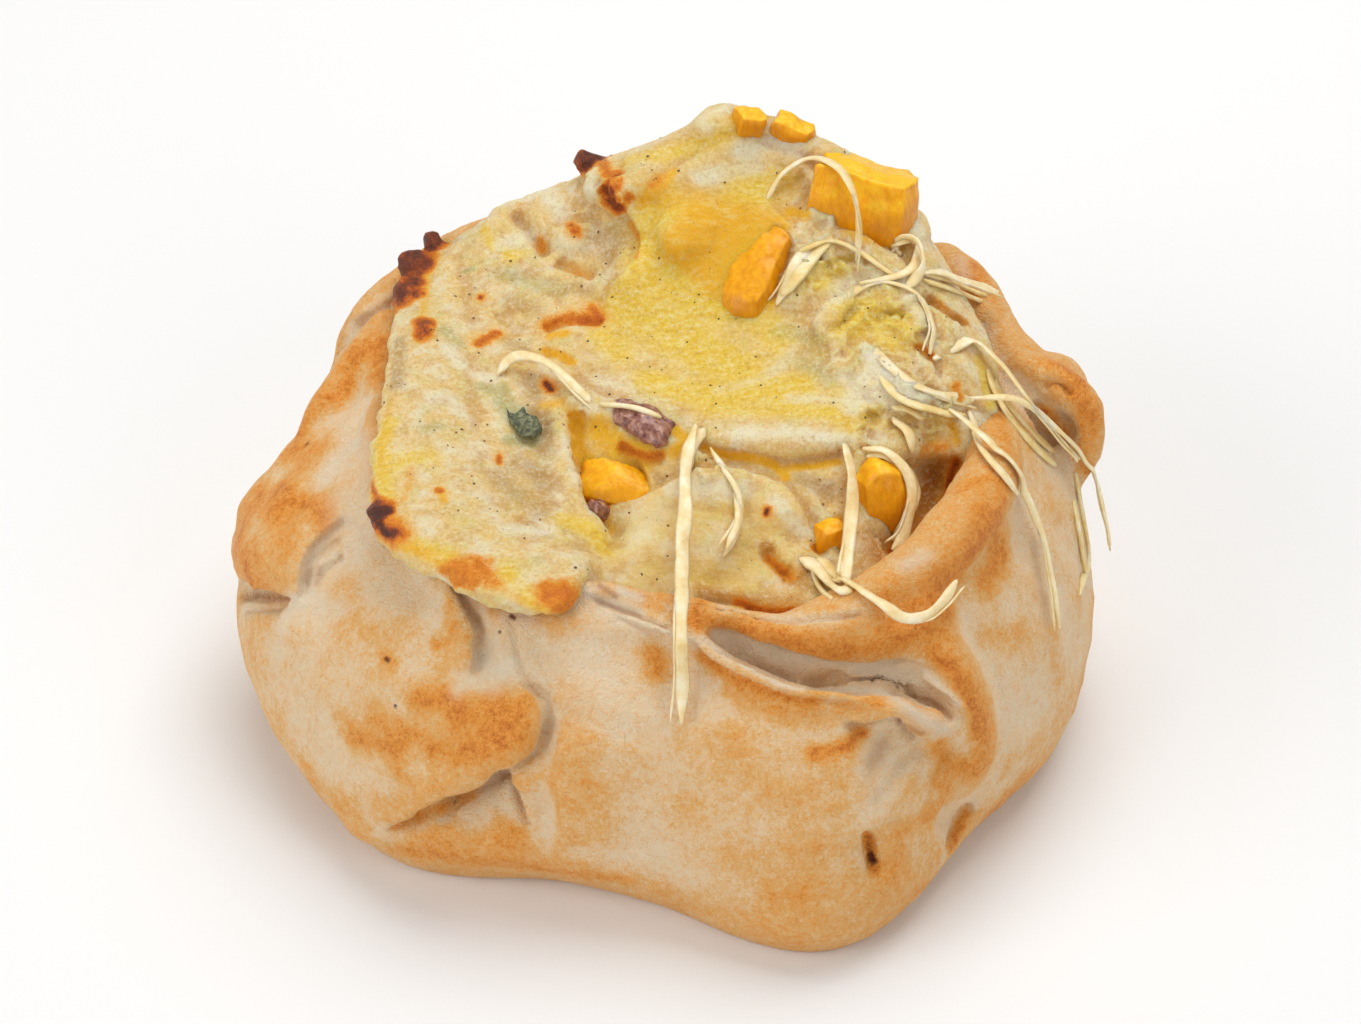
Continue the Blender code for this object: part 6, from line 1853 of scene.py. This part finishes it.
GREEN = strokes(
    (1.3, 0.9, 504, 402, 520, 420, 530, 440), (0.7, 0.8, 502, 386, 503, 392),
    (1.0, 0.7, 445, 330, 460, 345), (1.6, 0.6, 500, 275, 560, 290), (0.9, 0.6, 422, 430, 440, 425),
    (0.8, 0.8, 480, 385, 502, 392), (0.8, 0.8, 508, 440, 530, 440), (0.9, 0.6, 540, 560),
    (0.6, 0.7, 480, 464), (1.5, 0.55, 780, 330, 820, 340), (1.6, 0.55, 800, 362, 832, 380),
    (1.2, 0.45, 850, 370, 870, 350), (0.5, 0.8, 562, 268), (0.4, 0.9, 463, 272, 474, 268),
)
TAN = strokes(
    (1.4, 0.7, 530, 380, 540, 420, 545, 450), (2.0, 0.6, 520, 460, 550, 485),
    (2.0, 0.65, 500, 480, 540, 512), (1.5, 0.5, 510, 300, 540, 312), (1.2, 0.6, 505, 340, 522, 352),
    (1.1, 0.8, 400, 340, 396, 385), (1.4, 0.65, 590, 235, 620, 232, 610, 255),
    (1.2, 0.6, 575, 285, 600, 300), (0.8, 0.6, 650, 468, 662, 480),
    (1.6, 0.5, 700, 580, 740, 556, 755, 540), (1.4, 0.7, 800, 478, 834, 492),
    (1.4, 0.6, 870, 530, 880, 552), (1.6, 0.9, 930, 460, 932, 500), (1.4, 0.5, 940, 350, 962, 376),
    (1.4, 0.4, 650, 560, 690, 570), (0.8, 0.7, 800, 178, 810, 190),
)
BROWNED = strokes(
    (0.8, 0.6, 478, 343, 487, 339, 497, 333), (0.4, 0.85, 480, 297, 481, 297),
    (0.7, 0.6, 570, 225, 576, 231), (1.0, 0.5, 546, 326, 570, 318, 598, 324),
    (0.8, 0.45, 592, 308, 600, 318), (1.2, 0.25, 565, 268, 590, 278), (0.5, 0.55, 438, 490, 441, 491),
    (0.4, 0.6, 499, 456, 499, 463), (0.6, 0.6, 372, 482, 376, 505), (0.4, 1.0, 372, 508, 373, 509),
    (0.8, 1.0, 379, 524, 386, 533, 392, 534), (0.9, 0.5, 396, 530, 405, 535),
    (1.4, 0.4, 482, 570, 492, 582), (0.8, 0.25, 410, 470, 404, 500),
    (0.7, 0.7, 584, 497, 602, 490, 622, 492), (0.6, 0.75, 606, 503, 603, 516),
    (0.8, 0.5, 622, 446, 645, 456, 662, 454), (0.35, 1.0, 766, 514, 767, 510),
    (0.45, 1.0, 546, 383, 551, 390), (0.8, 0.5, 814, 550, 825, 545, 838, 524),
    (1.0, 0.7, 893, 554, 912, 542, 930, 530), (0.8, 0.45, 903, 530, 908, 490),
    (0.7, 0.7, 947, 500, 952, 475, 958, 460), (1.1, 0.35, 925, 452, 944, 446),
    (0.8, 0.55, 738, 603, 765, 612, 806, 612), (0.5, 0.5, 918, 345, 932, 356),
    (0.6, 0.5, 956, 386, 960, 398), (1.0, 0.45, 770, 562, 790, 576),
    (0.7, 0.35, 632, 224, 640, 240, 636, 256), (0.9, 0.35, 652, 186, 662, 178),
    (0.9, 0.35, 541, 240, 543, 250), (0.9, 0.5, 590, 150, 600, 158),
)
# Amber painted shade in the hollows between lumps and in creases.
AMBER_SHADE = strokes(
    (1.8, 0.9, 945, 462, 936, 480, 928, 505), (1.5, 1.0, 912, 520, 898, 542, 888, 558),
    (1.2, 0.9, 926, 512, 930, 530), (1.0, 0.9, 952, 462, 948, 500), (1.2, 0.7, 904, 470, 912, 500),
    (1.0, 1.0, 766, 548, 778, 568, 794, 577), (0.9, 0.9, 816, 552, 828, 538, 838, 520),
    (1.3, 0.85, 588, 492, 612, 484, 640, 482), (1.2, 0.6, 600, 470, 636, 464),
    (1.2, 0.6, 700, 590, 745, 598, 800, 604), (0.9, 0.4, 808, 585, 800, 560),
    (0.7, 0.9, 932, 300, 952, 314, 966, 324), (1.4, 0.5, 870, 540, 862, 565),
    (0.4, 0.9, 812, 256, 820, 255), (0.9, 0.7, 776, 230, 784, 250, 776, 290),
)
SLEEK = strokes(
    (3.6, 1.0, 620, 545, 650, 515, 700, 500, 760, 520), (3.0, 1.0, 650, 575, 700, 565, 745, 570),
    (3.0, 0.8, 700, 220, 740, 240, 750, 285),
)
MARKS = {
    "yellow": YELLOW, "gold": GOLD, "olive": OLIVE, "pale": PALE, "green": GREEN, "tan": TAN,
    "amber": AMBER_SHADE, "sleek": SLEEK,
}
print("strokes on the filling:", sum(len(table) for table in MARKS.values()) + len(BROWNED))

# %% Marks on the filling
cheese = points_of(filling)
cheese_skin = skin_tree(filling)
for mask, table in MARKS.items():
    paint(filling, mask, brushed(cheese, cheese_skin, table))
haloes = [mark._replace(width=2.2 * mark.width, strength=0.4 * mark.strength) for mark in BROWNED]
golden, brown = (brushed(cheese, cheese_skin, table) for table in (haloes, BROWNED))
paint(filling, "browned", np.maximum.reduce([golden, brown, knob_heat(cheese)]))
# Painted shade: the dips of the relief are marked for a darker amber colour.
paint(filling, "crest", 0.5 + raised(filling, 12) / 0.3)
print("filling painted with", len(MARKS) + 2, "masks")

# %% [markdown]
# Melted cheese is moist and lets light in, so it has a low roughness and some subsurface
# scattering. Its colours are mixed one over the other in the order in which they lie, and clouds
# eat into the edge of each. Browning is last: one number runs from gold through brown to black.

# %% The cheese's finish
def cheese_finish(obj):
    melted = Finish("melted_cheese", Subsurface_Weight=0.7, Subsurface_Radius=(1.0, 0.75, 0.25),
                    Subsurface_Scale=0.002, Specular_IOR_Level=0.5)
    milky, greenish, warm = melted.clouds(2.6, 5, 0.65)
    curds, oily, mottle = melted.clouds(0.7, 5, 0.7)
    grain = melted.cloud(0.22, 3, 0.6)
    froth = melted.cloud(0.4, 4, 0.75)
    threads = melted.cloud(0.6, 4, 0.7, melted.stretched(0.35, 1.2, 1.0))
    base = colour(240, 207, 136)
    for cloud, low, high, share, tint in (
        (milky, 0.44, 0.64, 0.85, colour(244, 232, 200)),
        (greenish, 0.47, 0.66, 0.6, colour(222, 206, 126)),
        (warm, 0.5, 0.68, 0.55, colour(220, 172, 98)),
        # Painted shade: the dips turn amber, while thick cheese on the crests stays paler.
        (melted.mask("crest"), 0.5, 0.15, 0.5, colour(212, 154, 66)),
    ):
        base = melted.mix(melted.between(cloud, low, high) * share, base, tint)
    broken = (mottle - 0.5) * 1.1 + (milky - 0.5) * 0.6 + (grain - 0.5) * 0.8
    for mask, tint, strength in (
        ("tan", colour(186, 142, 78), 0.7),
        ("yellow", colour(244, 206, 44), 0.92),
        ("gold", colour(246, 186, 0), 1.0),
        ("green", colour(176, 174, 108), 0.65),
        ("pale", colour(246, 238, 208), 0.8),
        ("olive", colour(214, 176, 30), 0.85),
        # Painted shade: amber in the hollows.
        ("amber", colour(194, 122, 10), 0.9),
    ):
        edge = melted.mask(mask)
        edge = edge + broken * edge * (1.3 - edge)
        base = melted.mix(melted.between(edge, 0.1, 0.85) * strength, base, tint)
    yellow, gold, rough = melted.mask("yellow"), melted.mask("gold"), 1 - melted.mask("sleek") * 0.6
    for cloud, low, high, share, tint in (
        (threads, 0.48, 0.66, yellow * 0.6, colour(250, 234, 160)),
        (threads, 0.46, 0.3, yellow * 0.6, colour(226, 166, 30)),
        (curds, 0.5, 0.68, (0.42 - yellow * 0.2 - gold * 0.3) * rough, colour(252, 242, 208)),
        (froth, 0.5, 0.66, (0.4 - gold * 0.35) * rough, colour(252, 244, 214)),
        (froth, 0.48, 0.32, 0.4 * rough, colour(196, 146, 60)),
        (oily, 0.54, 0.7, 0.4 * rough, colour(206, 150, 56)),
    ):
        base = melted.mix(melted.between(cloud, low, high) * share, base, tint)
    heat = melted.mask("browned")
    heat = heat + broken * 1.6 * heat * (1.25 - heat)
    crisp = melted.ramp(
        heat, (0.12, 246, 190, 60), (0.36, 236, 150, 20), (0.6, 208, 106, 8), (0.8, 142, 62, 12),
        (1.0, 82, 40, 26),
    )
    base = melted.mix(melted.between(heat, 0.06, 0.4), base, crisp)
    roughness = 0.36 + (mottle - 0.5) * 0.4 + melted.mask("browned") * 0.1
    melted.wear(obj, base, roughness, froth + mottle * 0.8 + curds * 0.8 + threads * 0.4, 0.32)


cheese_finish(filling)
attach(filling, "root")
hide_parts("filling")

# %% [markdown]
# Grated cheese that didn't melt lies in strips, arches and curls. Each strip follows a given line,
# has the flat section that a grater cuts, and frays towards its end. It is lifted off the dough
# wherever its line would go through it. Hair curves would be quicker to draw, but they have
# no flat section and don't export.

# %% Shreds of cheese
# Strips of grated cheese: width, then points along each.
SHREDS = {
    "left_arch": (1.3, (
        (-16.8, 6, 38.4), (-15.6, 7, 39.3), (-14, 7.2, 39.9), (-11.6, 6.4, 39.5), (-8.6, 3.4, 38.4),
        (-5.8, 1.4, 37.2),
    )),
    "long_hanging": (1.6, (
        (3.4, -1.6, 37.8), (2.6, -5, 37.2), (2.3, -9.5, 36.6), (2.2, -13.4, 35.2), (2, -17.4, 33.6),
        (2, -22, 33.4), (1.9, -26.8, 31.6), (2, -29.4, 27.6), (1.9, -31.4, 24.8),
    )),
    "small_hanging": (0.8, ((5, -4.4, 37.2), (7.2, -8.4, 35.4), (7.6, -12.6, 34.6), (6.4, -15.4, 33.4))),
    "right_arch": (1.3, (
        (20.2, -4.6, 37.2), (22.4, -5.2, 37.4), (24.2, -6.6, 36.2), (25, -8.4, 34), (24.2, -10.6, 31.6),
        (22.8, -12.2, 30.6),
    )),
    "upright": (1.5, (
        (18.2, -3.6, 37.9), (18.8, -8, 36.2), (18.8, -12, 34.4), (18, -16.2, 32.6), (18, -19.4, 32.4),
    )),
    "rim_curl": (1.3, (
        (16.8, -17.6, 31), (18.8, -21, 33.2), (21.4, -23.2, 33), (23.4, -24.2, 32), (25.6, -23.6, 31.8),
        (27.4, -22, 32.4), (28.6, -20.2, 33.2),
    )),
    "top_arch": (1.3, (
        (10.6, 22.4, 48.2), (12.6, 24.2, 50.6), (15.4, 24.4, 52.4), (18.2, 22, 52.8), (19.8, 19, 51),
        (20.2, 17.2, 48), (20, 16, 44.4),
    )),
    "slope_strip": (1.5, ((15.6, 18, 46), (14.6, 16.4, 46), (13.2, 14, 44.8), (11.8, 12.2, 42.6))),
    "right_curl": (1.3, (
        (23.4, 17.8, 44.4), (24.6, 18.6, 46.4), (26.4, 17.6, 46.6), (26.8, 15.4, 45), (24.6, 13.6, 43.8),
        (21.2, 14, 43.2),
    )),
    "back_strip": (1.5, ((25.6, 16.2, 43.6), (28.6, 16.8, 43.4), (31.6, 17.6, 41.6), (35, 18.6, 39.4))),
    "slope_arch": (1.2, (
        (15.8, 8.6, 41), (17.8, 11.2, 43.4), (22, 13.2, 44.6), (25.8, 12.4, 44), (27.6, 9, 42.2),
        (27.2, 6.6, 40.6),
    )),
    "ear_strip": (1.6, (
        (27.6, 6, 40.4), (31.4, 9, 40.4), (34.2, 7, 39.2), (37, 3.8, 37.2), (40, 3.4, 33), (43, 3.6, 29.4),
    )),
    "right_long": (1.2, (
        (27.4, 1, 39), (30.4, -1.6, 38.6), (33, -5, 38), (36, -7.4, 34), (38.2, -8.8, 29.4),
        (39.2, -11.6, 25.8), (40, -14.2, 21.8),
    )),
    "side_hanging": (1.0, (
        (30.4, 2.2, 38), (35.6, 2.6, 38), (40.4, 3.2, 33.6), (43.8, 3.6, 28.6), (45.8, 3.2, 23.4),
        (46.8, 2.6, 18.4),
    )),
    "tuft_strip": (1.5, (
        (20.8, 8, 40.8), (22.6, 3.6, 41.8), (25.4, 1, 41), (28.4, 0.6, 39.8), (31.4, 1.8, 38.2),
    )),
}


def keep_clear(points, tree, distance):
    """Moves points that are nearer than distance to a skin, or just inside it, out of it."""
    out = []
    for point in points:
        near, normal, _, away = tree.find_nearest(point)
        offset = Vector(point) - near
        if offset.dot(normal) > 0 and away < distance:
            point = near + offset / away * distance
        elif offset.dot(normal) <= 0 and away < WALL_THICK / 2:
            point = near + normal * distance
        out.append(tuple(point))
    return np.array(out)


# %% Strips
def sideways(line):
    """Along the skin and out of it, both square to a line at each of its points, and its way."""
    tangent = unit(np.gradient(line, axis=0))
    side = unit(np.cross(tangent, line * (1, 1, 0) + (0, 0, 40)))
    return side, np.cross(side, tangent), tangent


STRIP_SIDES = 8


def strip(line, width, thick, seed, twist=1.2):
    """The grid of a flat strip along a line: uneven, slowly twisting, with thinning ends."""
    count = len(line)
    share = np.linspace(0, 1, count)
    size = width / 2 * np.clip(np.minimum(share, 1 - share) / 0.15 + 0.2, 0, 1) ** 0.7
    size = size * np.clip(0.9 + 0.15 * waves(line, 1.8, seed) + 0.3 * waves(line, 6, seed + 1), 0.4, 1.4)
    side, over, tangent = sideways(line)
    lean = twist * waves(line, 6, seed + 2)[:, None]
    side, over = side * np.cos(lean) + over * np.sin(lean), over * np.cos(lean) - side * np.sin(lean)
    turn = -np.arange(STRIP_SIDES) * 2 * np.pi / STRIP_SIDES
    grid = np.empty((STRIP_SIDES, count + 2, 3))
    grid[:, 0] = line[0] - tangent[0] * 0.2
    grid[:, -1] = line[-1] + tangent[-1] * 0.2
    for k in range(count):
        grid[:, k + 1] = line[k] + np.cos(turn)[:, None] * side[k] * size[k]
        grid[:, k + 1] += np.sin(turn)[:, None] * over[k] * thick / 2
    return grid


def frayed(line, width, thick, seed):
    """A strip with a thread that splits off it towards its end."""
    share = np.linspace(0, 1, len(line))[:, None]
    thread = line + sideways(line)[0] * (0.3 * width + 0.6 * share**4)
    return [strip(line, width, thick, seed), strip(thread[int(0.65 * len(line)) :], 0.3, 0.25, seed + 5)]


# %% [markdown]
# Half-melted cheese lies on the filling in thin wisps. Some follow a line of pixels each. The others
# lie in bundles: two lines of pixels bound each bundle, and a fixed seed spreads the wisps
# between them, as no two of them matter singly.

# %% Wisps
# Single wisps: width, how far they stand off in millimetres, then x and y of each pixel.
WISPS = (
    (1.2, 0.7, 900, 255, 893, 246, 902, 238, 914, 242, 919, 254, 912, 270, 890, 280, 862, 284),
    (1.4, 0.5, 704, 430, 694, 446, 690, 470), (0.8, 0.5, 716, 462, 738, 492, 738, 528, 724, 556),
    (1.3, 0.8, 868, 458, 884, 454, 902, 468, 910, 490, 904, 515, 892, 540),
    (0.8, 0.3, 600, 405, 630, 408, 660, 418), (1.6, 0.5, 800, 560, 820, 570, 834, 590, 852, 592),
    (1.2, 0.5, 968, 412, 975, 432, 985, 458, 1004, 480, 1016, 494),
    (1.4, 0.7, 893, 418, 906, 436, 912, 452),
)
# Bundles: how many wisps, their width, how far they stand off, and the pixels of both lines.
BUNDLES = (
    (1, 1.6, 0.2, (800, 250, 830, 229, 862, 238, 890, 262), (812, 274, 838, 258, 868, 264, 897, 278)),
    (2, 1.4, 0.1, (905, 262, 940, 275, 985, 296), (915, 282, 945, 294, 985, 314)),
    (1, 1.8, 0.1, (822, 211, 803, 235, 789, 262, 775, 302), (838, 232, 822, 256, 810, 284, 800, 320)),
    (1, 1.3, 0.3, (868, 343, 885, 363, 905, 378, 935, 398, 976, 402),
     (878, 374, 893, 393, 910, 402, 935, 410, 964, 416)),
    (2, 1.3, 0.05, (985, 350, 1000, 390, 1030, 430, 1075, 470),
     (985, 380, 1000, 420, 1025, 455, 1065, 490)),
    (2, 0.8, 0.2, (1078, 470, 1085, 520, 1092, 560, 1100, 602),
     (1070, 480, 1076, 530, 1084, 575, 1090, 592)),
    (2, 1.4, 0.1, (838, 545, 852, 572, 860, 596), (798, 562, 812, 588, 838, 604)),
    (1, 1.4, 0.1, (880, 392, 905, 388, 934, 412), (884, 425, 905, 432, 932, 440)),
)
WISP_SEED = 12
WISP_STEPS = 22
WISP_THICK, STRIP_THICK = 0.5, 0.42
CLEAR = 0.45  # how far a strip's middle keeps off the dough

strips = []
for seed, (width, points) in enumerate(SHREDS.values()):
    line = keep_clear(through(points, 9), dough_skin, CLEAR)
    wander = np.stack([waves(line, 4, seed + k) for k in (1, 2, 3)], axis=1)
    strips += frayed(line + 0.25 * wander, width, STRIP_THICK, 30 + seed)
everything = one_skin([filling, pastry, *blocks])


def wisp(pixels, width, lift, seed):
    """A strip that has half melted into what the pixels show, highest in its middle."""
    lifts = lift * np.sin(np.linspace(0.1, np.pi - 0.1, len(pixels))) + 0.06
    line = eased(lifted(everything, pixels, lifts), 8)
    return strip(line, width, WISP_THICK, seed, 0.3)


for k, (width, lift, *numbers) in enumerate(WISPS):
    strips.append(wisp(through(pairs(numbers), 7), width, lift, 60 + k))
thin_strips = []
rng = np.random.default_rng(WISP_SEED)
for count, width, lift, *edges in BUNDLES:
    one, other = (even_steps(through(pairs(numbers), 7), WISP_STEPS) for numbers in edges)
    for k in range(count):
        ends = np.clip((k + rng.uniform(-0.4, 1.4, 2)) / count, 0, 1)
        share = np.linspace(*ends, WISP_STEPS)[:, None]
        pixels = one * (1 - share) + other * share
        first, last = rng.integers(0, 5), WISP_STEPS - rng.integers(0, 5)
        height = lift * rng.uniform(0.3, 1.6)
        wide = width * rng.uniform(0.5, 1.3)
        thin_strips.append(wisp(pixels[first:last], wide, height, int(rng.integers(1000))))


# %% Strips and wisps as objects
def joined(name, grids):
    """One smooth object made of the strips' grids."""
    obj = gathered(name, [ringed("strip", grid) for grid in grids])
    shade_smooth(obj)
    return obj


def shred_finish(name, obj, *stops):
    grated = Finish(name, Subsurface_Weight=0.35, Subsurface_Radius=(1.0, 0.85, 0.6),
                    Subsurface_Scale=0.001, Specular_IOR_Level=0.5)
    patches = grated.cloud(1.8, 4, 0.6)
    base = grated.ramp(patches, *stops)
    grated.wear(obj, base, 0.34 + (patches - 0.5) * 0.2, grated.cloud(0.4, 3, 0.6), 0.1)


shreds = joined("cheese_shreds", strips)
shred_finish("grated_cheese", shreds, (0.3, 234, 200, 132), (0.5, 244, 220, 168), (0.7, 252, 240, 208))
wisps = joined("cheese_wisps", thin_strips)
shred_finish("half_melted_cheese", wisps, (0.3, 230, 194, 114), (0.5, 240, 214, 150), (0.7, 250, 236, 196))
for obj in (shreds, wisps):
    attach(obj, "root")
print("shreds:", len(strips), "strips,", triangles(shreds), "triangles")
print("wisps:", len(thin_strips), "strips,", triangles(wisps), "triangles")

# %% [markdown]
# Ground pepper sits all over the cheese. The specks are far too small for the construction model,
# so they are added here: flattened grains at random places, from a fixed seed, on the side that
# the photo shows and round the back of the heap alike.

# %% Pepper
PEPPER_SEED, PEPPER_COUNT = 7, 260
PEPPER_MIDDLE, PEPPER_REACH = (0, 6), (30, 28)
DROP_FROM = 80  # the height that each grain is dropped from
rng = np.random.default_rng(PEPPER_SEED)
bm = bmesh.new()
for _ in range(PEPPER_COUNT):
    angle, share = rng.uniform(0, 2 * np.pi), math.sqrt(rng.uniform(0, 1))
    x = PEPPER_MIDDLE[0] + share * PEPPER_REACH[0] * math.cos(angle)
    y = PEPPER_MIDDLE[1] + share * PEPPER_REACH[1] * math.sin(angle)
    place, normal, _, _ = cheese_skin.ray_cast(Vector((x, y, DROP_FROM)), Vector((0, 0, -1)))
    size = rng.uniform(0.04, 0.14)
    if place is None:
        continue
    stretch = Matrix.Diagonal((*(size * rng.uniform(0.7, 1.6, 3) * (1, 1, 0.7)), 1))
    twist = normal.to_track_quat("Z", "Y").to_matrix().to_4x4()
    where = Matrix.Translation((place - Vector(CENTRE)) * MM) @ Matrix.Scale(MM, 4)
    bmesh.ops.create_icosphere(bm, subdivisions=1, radius=1, matrix=where @ twist @ stretch)
pepper_mesh = bpy.data.meshes.new("pepper")
bm.to_mesh(pepper_mesh)
bm.free()
pepper = shown("pepper", pepper_mesh)
ground = Finish("ground_pepper", Specular_IOR_Level=0.3)
tone = ground.cloud(0.6, 2, 0.5)
dark = ground.ramp(tone, (0.35, 84, 66, 44), (0.65, 140, 104, 62))
ground.wear(pepper, dark, 0.6 + tone * 0.1, tone, 0.05)
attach(pepper, "root")
print("pepper:", triangles(pepper), "triangles")

# %% [markdown]
# Last, the sizes: the box round the construction model and the box round the dressed model
# are both found.

# %% Sizes and finish
corners = {"cad": cad_box, "visual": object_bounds()}
